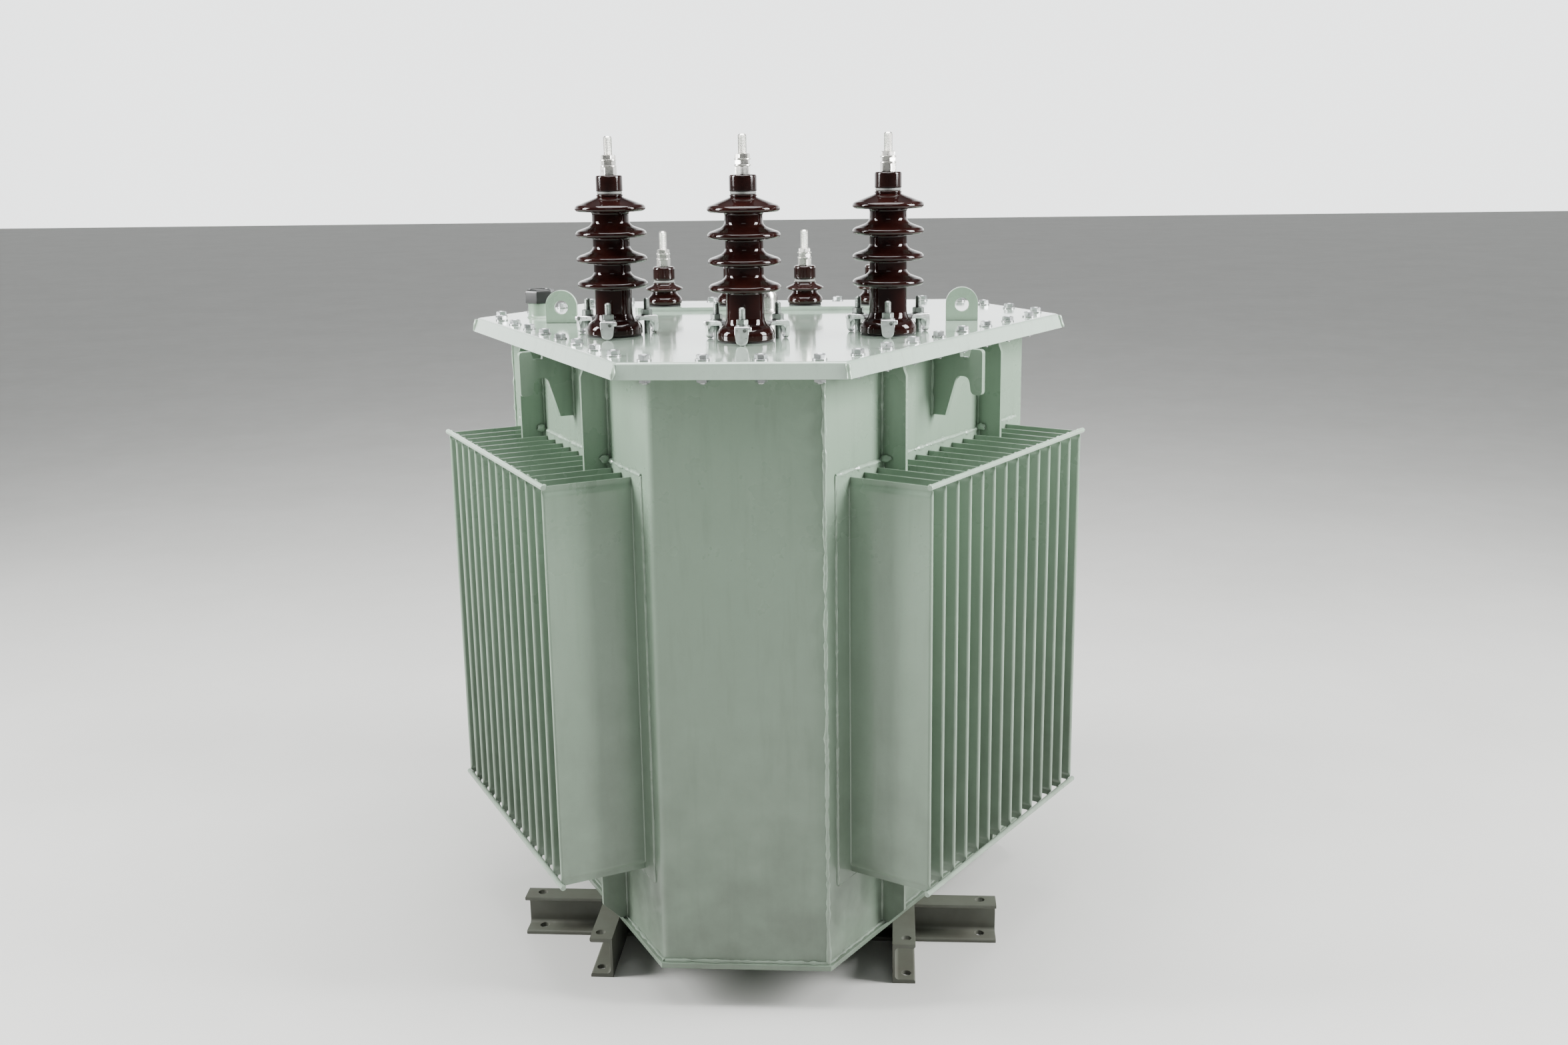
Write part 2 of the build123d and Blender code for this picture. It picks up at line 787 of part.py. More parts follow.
def earth_terminal():
    """A welded boss, a stud and a nut with its washer on the right rear short face."""
    boss = rod(16, 0, 12) + rod(m12_r - 0.2, 12, 24.5) + rod(m12_r, 24.5, 42)
    washer = ring(m12_washer_r, m12_r + 0.5, 12, 12 + washer_t)
    holder = nut(m12_af, m12_r + 0.05, 12 + washer_t, 24.5)
    return [placed_on_short(Rot(0, 90, 0) * item, 30, earth_z) for item in (boss, washer, holder)]


def placed_on_short(shape, angle, z):
    return turned(Pos(tank_short, 0, z) * shape, angle)


def rating_plate():
    """A blank plate on four stand-off rivets, on the right rear short face."""
    plate = block((6, 7.5), (-80, 80), (0, 110))
    rivets = [Pos(0, y, z) * Rot(0, 90, 0) * rod(3, 0, 9) for y in (-72, 72) for z in (8, 102)]
    return placed_on_short(plate + rivets, 30, 760)


# ------------------------------------------------------------------ core and coils
def core_ring():
    """One wound core loop between the front leg and the right rear leg, clipped to its own third."""
    leg_gap = leg_radius * sqrt(3)
    half_w = leg_gap / 2 + leg_r
    outer = block((-half_w, half_w), (-yoke_half_t, yoke_half_t), (core_low, core_high))
    outer = fillet(outer.edges().filter_by(Axis.Y), 70)
    inner_half = leg_gap / 2 - leg_r
    window = block(
        (-inner_half, inner_half),
        (-yoke_half_t - 1, yoke_half_t + 1),
        (core_low + yoke_h, core_high - yoke_h),
    )
    window = fillet(window.edges().filter_by(Axis.Y), 25)
    loop = outer - window
    keep = rod(leg_r, core_low, core_high, -leg_gap / 2) + rod(leg_r, core_low, core_high, leg_gap / 2)
    keep = keep + block((-half_w, half_w), (-yoke_half_t, yoke_half_t), (core_low, core_low + yoke_h - 10))
    keep = keep + block((-half_w, half_w), (-yoke_half_t, yoke_half_t), (core_high - yoke_h + 10, core_high))
    loop = loop & keep
    # local +Y becomes outward from the tank axis along -30 degrees
    loop = turned(Pos(0, leg_radius / 2, 0) * loop, turns["right"])
    reach = 700.0
    tip_1 = polar(reach, -89.9)
    tip_2 = polar(reach * 1.6, -30)
    tip_3 = polar(reach, 29.9)
    sector = extrude(polygon([(0, 0), tip_1, tip_2, tip_3]), core_high - core_low + 2)
    return loop & (Pos(0, 0, core_low - 1) * sector)


def leg_places():
    return [polar(leg_radius, angle) for angle in short_angles]


def coils(outer, inner):
    return [ring(outer, inner, coil_low, coil_high, x, y) for x, y in leg_places()]


def clamp_frames():
    """Lower and upper clamping frames: a bar over each yoke and an arm out to each tie rod."""
    leg_gap = leg_radius * sqrt(3)
    bar = Pos(0, leg_radius / 2, 0) * Box(leg_gap + 90, 2 * yoke_half_t, frame_t)
    arm = block((-35, 35), (0, tie_rod_radius + 25), (-frame_t / 2, frame_t / 2))
    star = bar + arm
    for name in ("left", "right"):
        star = star + turned(bar + arm, turns[name])
    star = star - rod(tie_rod_r + 0.5, -frame_t, frame_t)
    for angle in long_angles:
        x, y = polar(tie_rod_radius, angle)
        star = star - rod(tie_rod_r + 0.5, -frame_t, frame_t, x, y)
    upper = Pos(0, 0, core_high + frame_t / 2) * star
    lower = Pos(0, 0, core_low - frame_t / 2) * star
    for x, y in leg_places():
        lower = lower + block((x - 40, x + 40), (y - 40, y + 40), (tank_low, core_low - frame_t))
    return [lower, upper]


def core_rods():
    """Tie rods through both frames, each with a nut above and below."""
    pieces = []
    places = [(0.0, 0.0)] + [polar(tie_rod_radius, angle) for angle in long_angles]
    for x, y in places:
        pieces.append(rod(tie_rod_r, core_low - frame_t - 20, core_high + frame_t + 20, x, y))
        pieces.append(nut(24.0, tie_rod_r + 0.05, core_high + frame_t, core_high + frame_t + 13, x, y))
        pieces.append(nut(24.0, tie_rod_r + 0.05, core_low - frame_t - 13, core_low - frame_t, x, y))
    return pieces


def lead(points, radius, bend):
    path = FilletPolyline(*points, radius=bend)
    return sweep(Plane(origin=path @ 0, z_dir=path % 0) * Circle(radius), path)


def hv_leads():
    """From the top of each outer coil up to the foot of its bushing's stud."""
    starts = {"a": (-382.0, -16.0), "b": (0.0, -448.0), "c": (382.0, -16.0)}
    over = 1085.0
    leads = []
    for name, (x, y) in hv_places.items():
        sx, sy = starts[name]
        foot = cover_top - hv_tail - 10
        points = [(sx, sy, coil_high), (sx, sy, over), (x, y, over), (x, y, foot)]
        leads.append(lead(points, 4.0, 16.0))
    return leads


def lv_leads():
    """Round copper leads from the inner coils to the low-voltage studs, with the neutral link."""
    reach = leg_radius + (lv_coil_in + lv_coil_out) / 2
    over = 1052.0
    foot = cover_top + lv_plate_t - lv_tail - 10
    start_angles = {"a": 150, "b": -90, "c": 30}
    leads = []
    for name, angle in start_angles.items():
        sx, sy = polar(reach, angle)
        x = lv_places[name]
        points = [(sx, sy, coil_high), (sx, sy, over), (x, lv_y, over), (x, lv_y, foot)]
        leads.append(lead(points, 7.0, 24.0))
    x = lv_places["n"]
    side = (x + 60, lv_y - 30)
    high = over + 34
    points = [(x, lv_y, foot), (x, lv_y, high), (*side, high), (*side, over - 10)]
    leads.append(lead(points, 7.0, 16.0))
    return leads


# ------------------------------------------------------------------ write every node
os.makedirs("parts", exist_ok=True)

write("base_channel_left", longitudinal(-1))
write("base_channel_right", longitudinal(1))
write("cross_channel_front", *cross_members(-1))
write("cross_channel_rear", *cross_members(1))

write("tank_floor_plate", tank_floor())
sheet = tank_sheet()
write("tank_sheet_front", sheet)
write("tank_sheet_right", turned(sheet, 120))
write("tank_sheet_left", turned(sheet, -120))
write("tank_flange", tank_flange())

bank = fin_bank()
for name, angle in turns.items():
    write(f"fin_bank_{name}", *[turned(piece, angle) for piece in bank])
write("fin_tie_rods", *tie_rods())
write("wall_ribs", *ribs())
write("lifting_hooks", *[turned(lifting_hook(), angle) for angle in turns.values()])

write("cover_gasket", cover_gasket())
write("cover_plate", cover_plate())
write("cover_bolts", *[cover_bolt(x, y) for x, y in bolt_places()])
write("cover_nuts", *[piece for x, y in bolt_places() for piece in cover_nut_set(x, y)])
write("lifting_eyes", lifting_eye(-1), lifting_eye(1))

hv_top = cover_top + hv_neck_top + cap_gasket_t + hv_cap_h
for name, (x, y) in hv_places.items():
    write(f"hv_porcelain_{name}", hv_porcelain(x, y))
write("hv_caps", *[hv_cap(x, y) for x, y in hv_places.values()])
write("hv_terminal_studs", *[
    terminal_stud(x, y, cover_top - hv_tail - 10, hv_top + nut_stack_h, cover_top + hv_tip)
    for x, y in hv_places.values()
])
write("hv_terminal_nuts", *[piece for x, y in hv_places.values() for piece in terminal_nuts(x, y, hv_top)])
write("hv_clamps", *[hv_clamp(x, y, angle) for x, y in hv_places.values() for angle in clamp_angles])
write("hv_clamp_studs", *[piece for x, y in clamp_stud_places() for piece in clamp_fasteners(x, y)])

lv_base = cover_top + lv_plate_t
lv_top = lv_base + lv_neck_top + cap_gasket_t + hv_cap_h
write("lv_mounting_plate", lv_mounting_plate())
for name, x in lv_places.items():
    write(f"lv_porcelain_{name}", lv_porcelain(x))
write("lv_caps", *[lv_cap(x) for x in lv_places.values()])
write("lv_terminal_studs", *[
    terminal_stud(x, lv_y, lv_base - lv_tail - 10, lv_top + nut_stack_h, lv_base + lv_tip)
    for x in lv_places.values()
])
write("lv_terminal_nuts", *[piece for x in lv_places.values() for piece in terminal_nuts(x, lv_y, lv_top)])


hv_spots = list(hv_places.values())
lv_spots = [(x, lv_y) for x in lv_places.values()]
base_gaskets = washers_under(hv_spots, hv_base_r - 3, hv_tail_r + 0.5, cover_top, bushing_gasket_t)
base_gaskets += washers_under(lv_spots, 34.5, lv_tail_r + 0.5, lv_base, bushing_gasket_t)
write("bushing_base_gaskets", *base_gaskets)
hv_cap_low = cover_top + hv_neck_top
lv_cap_low = lv_base + lv_neck_top
cap_gaskets = washers_under(hv_spots, hv_stem_r - 10.5, stud_r + 0.5, hv_cap_low, cap_gasket_t)
cap_gaskets += washers_under(lv_spots, lv_cap_r - 1.2, stud_r + 0.5, lv_cap_low, cap_gasket_t)
write("bushing_cap_gaskets", *cap_gaskets)

write("relief_valve_body", relief_body())
write("relief_valve_cap", relief_cap())
write("relief_valve_spring", relief_spring())
write("filler_neck", filler_neck())
write("filler_gasket", filler_gasket())
write("filler_cap", filler_cap())
write("tap_changer_body", tap_changer_body())
write("tap_changer_handle", tap_changer_handle())
write("drain_valve_body", drain_body())
write("drain_valve_wheel", drain_wheel())
write("earth_terminal", *earth_terminal())
write("rating_plate", rating_plate())

ring_1 = core_ring()
write("core_ring_right", ring_1)
write("core_ring_rear", turned(ring_1, 120))
write("core_ring_left", turned(ring_1, -120))
write("lv_windings", *coils(lv_coil_out, lv_coil_in))
write("winding_barriers", *coils(barrier_out, barrier_in))
write("hv_windings", *coils(hv_coil_out, hv_coil_in))
write("core_clamp_frames", *clamp_frames())
write("core_tie_rods", *core_rods())
write("hv_leads", *hv_leads())
write("lv_leads", *lv_leads())
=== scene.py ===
"""Looks for the three-phase distribution transformer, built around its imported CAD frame.

Metres, in the part's own frame: +Z up, -Y is the front short face, the tank's axis is Z.
Pieces take their places from the boxes and the separate solids of the CAD nodes.
Outlines are in millimetres, as (radius, height) or (reach, height) with a corner cut.
"""
from math import atan2, cos, pi, radians, sin, sqrt

import bmesh
import bpy
from mathutils import Matrix, Vector, noise


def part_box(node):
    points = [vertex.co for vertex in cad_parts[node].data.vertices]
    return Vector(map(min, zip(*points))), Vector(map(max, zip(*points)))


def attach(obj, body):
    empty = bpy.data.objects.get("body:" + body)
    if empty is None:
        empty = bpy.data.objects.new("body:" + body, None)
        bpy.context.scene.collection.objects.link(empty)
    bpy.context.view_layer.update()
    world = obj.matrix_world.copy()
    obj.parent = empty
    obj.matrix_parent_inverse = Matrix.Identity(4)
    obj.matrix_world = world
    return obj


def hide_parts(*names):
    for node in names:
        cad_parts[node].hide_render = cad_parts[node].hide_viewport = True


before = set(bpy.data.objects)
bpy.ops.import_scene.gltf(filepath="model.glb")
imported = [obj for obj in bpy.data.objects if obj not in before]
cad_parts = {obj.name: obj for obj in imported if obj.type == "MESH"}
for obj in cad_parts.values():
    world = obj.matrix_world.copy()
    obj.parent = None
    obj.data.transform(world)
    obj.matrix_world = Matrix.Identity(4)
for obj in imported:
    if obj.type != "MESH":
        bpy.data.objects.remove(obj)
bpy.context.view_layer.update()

MM = 0.001
LONG_ANGLES = (-30, 90, 210)        # outward normals of the long walls, in degrees
TURNS = {"rear": 0, "left": 120, "right": -120}
BOLT_SIDES = 48                     # points round a nut, a multiple of six
ROUND = 64                          # points round a turned part
M12_PITCH, M16_PITCH = 1.75 * MM, 2.0 * MM
M12_ACROSS = 19 * MM                # across the flats of a nut or a bolt's head
FIN_COUNT = 14                      # on each long wall
ROD_OVERHANG = 12 * MM              # of a tie rod past the last fin's middle


# ---------------- places read from the frame
def solids(node):
    """(low, high) corners of each separate solid of a CAD node."""
    bm = bmesh.new()
    bm.from_mesh(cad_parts[node].data)
    bmesh.ops.remove_doubles(bm, verts=bm.verts, dist=1e-5)
    left = set(bm.verts)
    found = []
    while left:
        stack = [left.pop()]
        group = []
        while stack:
            vert = stack.pop()
            group.append(vert.co.copy())
            for edge in vert.link_edges:
                other = edge.other_vert(vert)
                if other in left:
                    left.remove(other)
                    stack.append(other)
        low = Vector([min(co[i] for co in group) for i in range(3)])
        high = Vector([max(co[i] for co in group) for i in range(3)])
        found.append((low, high))
    bm.free()
    return sorted(found, key=lambda pair: tuple(round(c, 4) for c in pair[0]))


def middle(pair):
    return (pair[0] + pair[1]) / 2


def foot_of(pair):
    """The middle of a solid's underside."""
    return Vector((*middle(pair).xy, pair[0].z))


def axis_of(node):
    """The vertical axis of a turned node, as (x, y)."""
    centre = middle(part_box(node))
    return Vector((centre.x, centre.y, 0))


cover_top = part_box("cover_plate")[1].z
skirt_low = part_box("cover_plate")[0].z
tank_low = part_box("tank_floor_plate")[1].z
flange_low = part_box("tank_flange")[0].z
tank_short = -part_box("tank_sheet_front")[0].y
tank_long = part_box("tank_sheet_left")[1].y
fin_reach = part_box("fin_bank_rear")[1].y
panel_low, panel_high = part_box("fin_bank_rear")[0].z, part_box("fin_bank_rear")[1].z
panel_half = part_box("fin_bank_rear")[1].x
lv_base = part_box("lv_mounting_plate")[1].z
rod_half = max(solids("fin_tie_rods"), key=lambda pair: pair[0].y)[1].x
fin_pitch = (rod_half - ROD_OVERHANG) * 2 / (FIN_COUNT - 1)


# ---------------- mesh building
def loft(rings, closed=False):
    """A skin over rings of equal length, joined last to first if closed and capped at both ends if not."""
    count = len(rings[0])
    verts = [point for ring in rings for point in ring]
    faces = []
    spans = len(rings) if closed else len(rings) - 1
    for i in range(spans):
        here = i * count
        there = (i + 1) % len(rings) * count
        for j in range(count):
            k = (j + 1) % count
            faces.append((here + j, here + k, there + k, there + j))
    if not closed:
        faces.append(tuple(reversed(range(count))))
        faces.append(tuple(range(len(verts) - count, len(verts))))
    return verts, faces


def rounded(corners, steps=5):
    """An outline through (a, b, cut) corners in millimetres, each corner cut back and curved."""
    outline = []
    for i, (a, b, cut) in enumerate(corners):
        here = Vector((a, b)) * MM
        before = Vector(corners[i - 1][:2]) * MM
        after = Vector(corners[(i + 1) % len(corners)][:2]) * MM
        if cut == 0:
            outline.append(here)
            continue
        reach = min(cut * MM, (before - here).length * 0.48, (after - here).length * 0.48)
        start = here + (before - here).normalized() * reach
        end = here + (after - here).normalized() * reach
        for step in range(steps + 1):
            t = step / steps
            outline.append(start * (1 - t) ** 2 + here * 2 * t * (1 - t) + end * t ** 2)
    return outline


def polar(radius, angle, z):
    return Vector((radius * cos(angle), radius * sin(angle), z))


def circle(radius, z, count=BOLT_SIDES):
    """Points round the Z axis at height z."""
    return [polar(radius, 2 * pi * k / count, z) for k in range(count)]


def turn(corners, sides=ROUND, closed=True):
    """A turned solid about Z from rounded (radius, height) corners."""
    return loft([circle(radius, height, sides) for radius, height in rounded(corners)], closed)


def hex_radius(across_flats, angle, worn=1.135):
    """The radius of a hexagon at an angle, its corners worn to this share of half its width."""
    turn_in = (angle + pi / 6) % (pi / 3) - pi / 6
    flat = across_flats / 2
    return min(flat / cos(turn_in), flat * worn)


def hex_part(across_flats, height, bore=0.0, both=True, dish=0.0):
    """A hexagon with chamfered corners. With a bore it is a nut, without one a bolt's head."""
    chamfer_r = across_flats * 0.475
    slope = 0.55
    lower = []
    upper = []
    for k in range(BOLT_SIDES):
        angle = 2 * pi * k / BOLT_SIDES
        radius = hex_radius(across_flats, angle)
        drop = max(0.0, radius - chamfer_r) * slope
        lower.append(polar(radius, angle, drop if both else 0.0))
        upper.append(polar(radius, angle, height - drop))
    outside = [circle(chamfer_r, 0.0), lower, upper, circle(chamfer_r, height)]
    if not bore:
        return loft(outside + [circle(chamfer_r * 0.86, height), circle(chamfer_r * 0.80, height - dish)])
    mouth, ease = bore + 0.8 * MM, 1.2 * MM
    entry = [circle(bore, ease), circle(mouth, 0.0)]
    way_out = [circle(mouth, height), circle(bore, height - ease)]
    return loft(entry + outside + way_out, closed=True)


def washer(outer, inner, height):
    edge = min(0.4, height / MM * 0.3)
    outer, inner, height = outer / MM, inner / MM, height / MM
    return turn([(inner, 0, 0), (outer, 0, edge), (outer, height, edge), (inner, height, edge)], BOLT_SIDES)


def threaded(radius, pitch, low, high, sides=24, rows=6):
    """A solid threaded rod with a chamfered tip."""
    depth = 0.38 * pitch
    count = max(4, int((high - low) / pitch * rows))
    rings = []
    for i in range(count + 1):
        z = low + (high - low) * i / count
        ring = []
        for k in range(sides):
            phase = ((z - low) / pitch - k / sides) % 1.0
            here = radius - depth * abs(2 * phase - 1)
            here = min(here, radius - 1.4 * pitch + (high - z))
            ring.append(polar(here, 2 * pi * k / sides, z))
        rings.append(ring)
    return loft(rings)


def prism(outline, low, high, bevel):
    """An upright plate over a convex outline of 2-D points, with its top and bottom edges eased."""
    centre = sum(outline, Vector((0, 0))) / len(outline)
    inner = [point + (centre - point).normalized() * bevel * 1.3 for point in outline]
    levels = ((inner, low), (outline, low + bevel), (outline, high - bevel), (inner, high))
    return loft([[Vector((p.x, p.y, z)) for p in points] for points, z in levels])


def as_form(bm):
    """The points and faces of a finished bmesh, which is freed."""
    bm.verts.index_update()
    form = [v.co.copy() for v in bm.verts], [tuple(v.index for v in f.verts) for f in bm.faces]
    bm.free()
    return form


def plate(outline, thickness, bevel):
    """A plate centred on x = 0 over an outline of (y, z) points, with eased edges."""
    bm = bmesh.new()
    face = bm.faces.new([bm.verts.new((-thickness / 2, y, z)) for y, z in outline])
    grown = bmesh.ops.extrude_face_region(bm, geom=[face])["geom"]
    moved = [g for g in grown if isinstance(g, bmesh.types.BMVert)]
    bmesh.ops.translate(bm, verts=moved, vec=(thickness, 0, 0))
    rims = [e for e in bm.edges if abs(e.verts[0].co.x - e.verts[1].co.x) < 1e-7]
    bmesh.ops.bevel(bm, geom=rims, offset=bevel, segments=2, profile=0.5, affect="EDGES")
    return as_form(bm)


def mesh_of(name, form):
    verts, faces = form
    mesh = bpy.data.meshes.new(name)
    mesh.from_pydata([tuple(v) for v in verts], [], faces)
    return mesh


def face_outward(mesh):
    bm = bmesh.new()
    bm.from_mesh(mesh)
    bmesh.ops.recalc_face_normals(bm, faces=bm.faces)
    bm.to_mesh(mesh)
    bm.free()


def linked(name, data):
    """A new object in the scene."""
    thing = bpy.data.objects.new(name, data)
    bpy.context.scene.collection.objects.link(thing)
    return thing


def carved(form, cutter):
    """A form with another cut away from it."""
    things = []
    for shape in (form, cutter):
        mesh = mesh_of("carving", shape)
        face_outward(mesh)
        things.append(linked("carving", mesh))
    cut = things[0].modifiers.new("cut", "BOOLEAN")
    cut.operation = "DIFFERENCE"
    cut.solver = "EXACT"
    cut.object = things[1]
    bm = bmesh.new()
    bm.from_object(things[0], bpy.context.evaluated_depsgraph_get())
    for thing in things:
        bpy.data.meshes.remove(thing.data)
    return as_form(bm)


def bead(points, radius, out, seed, step=3.2 * MM, sides=8):
    """A weld bead: a rippled, slightly uneven tube along straight runs, pressed flat against its corner."""
    rings = []
    travelled = 0.0
    out = Vector(out).normalized()
    for start, end in zip(points[:-1], points[1:]):
        run = end - start
        along = run.normalized()
        side = along.cross(out)
        count = max(2, int(run.length / step))
        for i in range(count + (end is points[-1])):
            at = start + run * i / count
            place = travelled + run.length * i / count
            ripple = 0.10 * sin(place / (3.1 * MM) + seed)
            swell = 0.75 * noise.noise(Vector((place * 70, seed * 7.3, 0.5)))
            wander = 0.35 * noise.noise(Vector((place * 30, seed * 3.1, 9.5)))
            size = radius * (1 + ripple + swell)
            ring = []
            for k in range(sides):
                angle = 2 * pi * k / sides
                offset = out * cos(angle) * size + side * (sin(angle) * size + wander * radius)
                ring.append(at + offset)
            rings.append(ring)
        travelled += run.length
    return loft(rings)


def blob(centre, radius, seed, squash=(1, 1, 1), rows=6, sides=10):
    """A lump of weld metal."""
    rings = []
    for i in range(rows + 1):
        tilt = pi * (0.04 + 0.92 * i / rows)
        ring = []
        for k in range(sides):
            angle = 2 * pi * k / sides
            direction = Vector((sin(tilt) * cos(angle), sin(tilt) * sin(angle), cos(tilt)))
            size = radius * (1 + 0.35 * noise.noise(direction * 1.6 + Vector((seed * 2.7, 0, 0))))
            ring.append(centre + Vector([direction[n] * size * squash[n] for n in range(3)]))
        rings.append(ring)
    return loft(rings)


class Pile:
    """Gathers solids into one mesh and makes it a piece."""

    def __init__(self):
        self.verts = []
        self.faces = []

    def add(self, form, matrix=None):
        start = len(self.verts)
        verts, faces = form
        self.verts += [matrix @ v for v in verts] if matrix else verts
        self.faces += [tuple(start + i for i in face) for face in faces]
        return self

    def at(self, form, place):
        return self.add(form, Matrix.Translation(place))

    def piece(self, name, look, slot, body="transformer", replaces=(), sharp=38):
        mesh = mesh_of(name, (self.verts, self.faces))
        return finish_mesh(mesh, name, look, body, replaces, sharp)

    def stand_in(self, node, suffix, look, slot, body="transformer", sharp=38):
        """Make the piece that replaces a CAD node and carries its name."""
        return self.piece(f"{node}_{suffix}", look, slot, body, (node,), sharp)


def finish_mesh(mesh, name, look, body, replaces, sharp):
    """Make a mesh a smooth-shaded piece with its look and body."""
    face_outward(mesh)
    for polygon in mesh.polygons:
        polygon.use_smooth = True
    mesh.set_sharp_from_angle(angle=radians(sharp))
    mesh.materials.clear()
    mesh.materials.append(look)
    piece = linked(name, mesh)
    weights = piece.modifiers.new("even_normals", "WEIGHTED_NORMAL")
    weights.keep_sharp = True
    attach(piece, body)
    if replaces:
        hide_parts(*replaces)
    return piece


def eased(node, look, width=0.8, angle=32, body="transformer"):
    """A copy of a CAD node with its sharp edges rounded by width millimetres, standing for the node."""
    bm = bmesh.new()
    bm.from_mesh(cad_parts[node].data)
    bmesh.ops.remove_doubles(bm, verts=bm.verts, dist=1e-5)
    bmesh.ops.dissolve_limit(bm, angle_limit=radians(0.8), verts=bm.verts, edges=bm.edges)
    edges = [e for e in bm.edges if len(e.link_faces) == 2 and e.calc_face_angle() > radians(angle)]
    bmesh.ops.bevel(
        bm, geom=edges, offset=width * MM, segments=2, profile=0.5, affect="EDGES", clamp_overlap=True
    )
    mesh = bpy.data.meshes.new(node + "_eased")
    bm.to_mesh(mesh)
    bm.free()
    if "custom_normal" in mesh.attributes:
        mesh.attributes.remove(mesh.attributes["custom_normal"])
    return finish_mesh(mesh, node + "_eased", look, body, (node,), angle)


def paint(node, look):
    """Give a CAD node's own mesh a finished material."""
    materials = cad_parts[node].data.materials
    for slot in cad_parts[node].material_slots:
        slot.material = look
    if not len(materials):
        materials.append(look)


# ---------------- materials
class Look:
    """One material's node tree, with short calls that add nodes and link them."""

    def __init__(self, name, metallic=0.0, **shader):
        self.material = bpy.data.materials.new(name)
        self.material.use_nodes = True
        self.tree = self.material.node_tree
        self.tree.nodes.clear()
        self.shader = self.node("ShaderNodeBsdfPrincipled", {"Metallic": metallic})
        for key, value in shader.items():
            self.shader.inputs[key.replace("_", " ")].default_value = value
        output = self.node("ShaderNodeOutputMaterial")
        self.link(self.shader.outputs["BSDF"], output.inputs["Surface"])
        self.where = self.node("ShaderNodeTexCoord").outputs["Object"]
        self.normal = None

    def node(self, kind, values=None, **settings):
        made = self.tree.nodes.new(kind)
        for key, value in settings.items():
            setattr(made, key, value)
        for key, value in (values or {}).items():
            made.inputs[key].default_value = value
        return made

    def link(self, source, target):
        self.tree.links.new(source, target)

    def noise(self, scale, detail=3.0, stretch=None, rough=0.55):
        """Noise from 0 to 1 with this many features to the metre."""
        where = self.where
        if stretch:
            mapping = self.node("ShaderNodeMapping", {"Scale": stretch})
            self.link(where, mapping.inputs["Vector"])
            where = mapping.outputs["Vector"]
        made = self.node("ShaderNodeTexNoise", {"Scale": scale, "Detail": detail, "Roughness": rough})
        self.link(where, made.inputs["Vector"])
        return made.outputs["Fac"]

    def ramp(self, value, low, high, start=0.0, end=1.0):
        """Map value from low..high to start..end, held at both ends."""
        made = self.node(
            "ShaderNodeMapRange", {"From Min": low, "From Max": high, "To Min": start, "To Max": end}
        )
        self.link(value, made.inputs["Value"])
        return made.outputs["Result"]

    def cloud(self, scale, detail, start=0.0, end=1.0, stretch=None):
        """Noise with its middle spread over start..end."""
        return self.ramp(self.noise(scale, detail, stretch), 0.3, 0.7, start, end)

    def math(self, operation, first, second):
        made = self.node("ShaderNodeMath", operation=operation)
        for socket, value in zip(made.inputs, (first, second)):
            if isinstance(value, (int, float)):
                socket.default_value = value
            else:
                self.link(value, socket)
        return made.outputs["Value"]

    def mix(self, factor, first, second):
        """A colour between two colours, each a tuple or a socket."""
        made = self.node("ShaderNodeMix", data_type="RGBA")
        self.link(factor, made.inputs["Factor"])
        for name, colour in (("A", first), ("B", second)):
            socket = [s for s in made.inputs if s.name == name and s.type == "RGBA"][0]
            if isinstance(colour, tuple):
                socket.default_value = (*colour, 1.0)
            else:
                self.link(colour, socket)
        return [s for s in made.outputs if s.type == "RGBA"][0]

    def bump(self, height, depth):
        """Raise the surface by height times depth metres, over any bump before."""
        made = self.node("ShaderNodeBump", {"Distance": depth, "Strength": 1.0})
        self.link(height, made.inputs["Height"])
        if self.normal:
            self.link(self.normal, made.inputs["Normal"])
        self.normal = made.outputs["Normal"]

    def upward(self):
        """How far the surface faces up, from -1 to 1."""
        split = self.node("ShaderNodeSeparateXYZ")
        self.link(self.node("ShaderNodeNewGeometry").outputs["Normal"], split.inputs["Vector"])
        return split.outputs["Z"]

    def place(self, axis):
        split = self.node("ShaderNodeSeparateXYZ")
        self.link(self.where, split.inputs["Vector"])
        return split.outputs[axis]

    def edges(self, low=0.52, high=0.62):
        """Near 1 on outer edges."""
        return self.ramp(self.node("ShaderNodeNewGeometry").outputs["Pointiness"], low, high)

    def shaded_corners(self, reach):
        """1 in tight corners, 0 in the open: the mask for painted shade in corners."""
        made = self.node("ShaderNodeAmbientOcclusion", {"Distance": reach}, samples=4)
        return self.ramp(made.outputs["AO"], 0.35, 0.9, 1.0, 0.0)

    def done(self, colour, roughness):
        for value, name in ((colour, "Base Color"), (roughness, "Roughness"), (self.normal, "Normal")):
            if value is not None:
                self.link(value, self.shader.inputs[name])
        return self.material


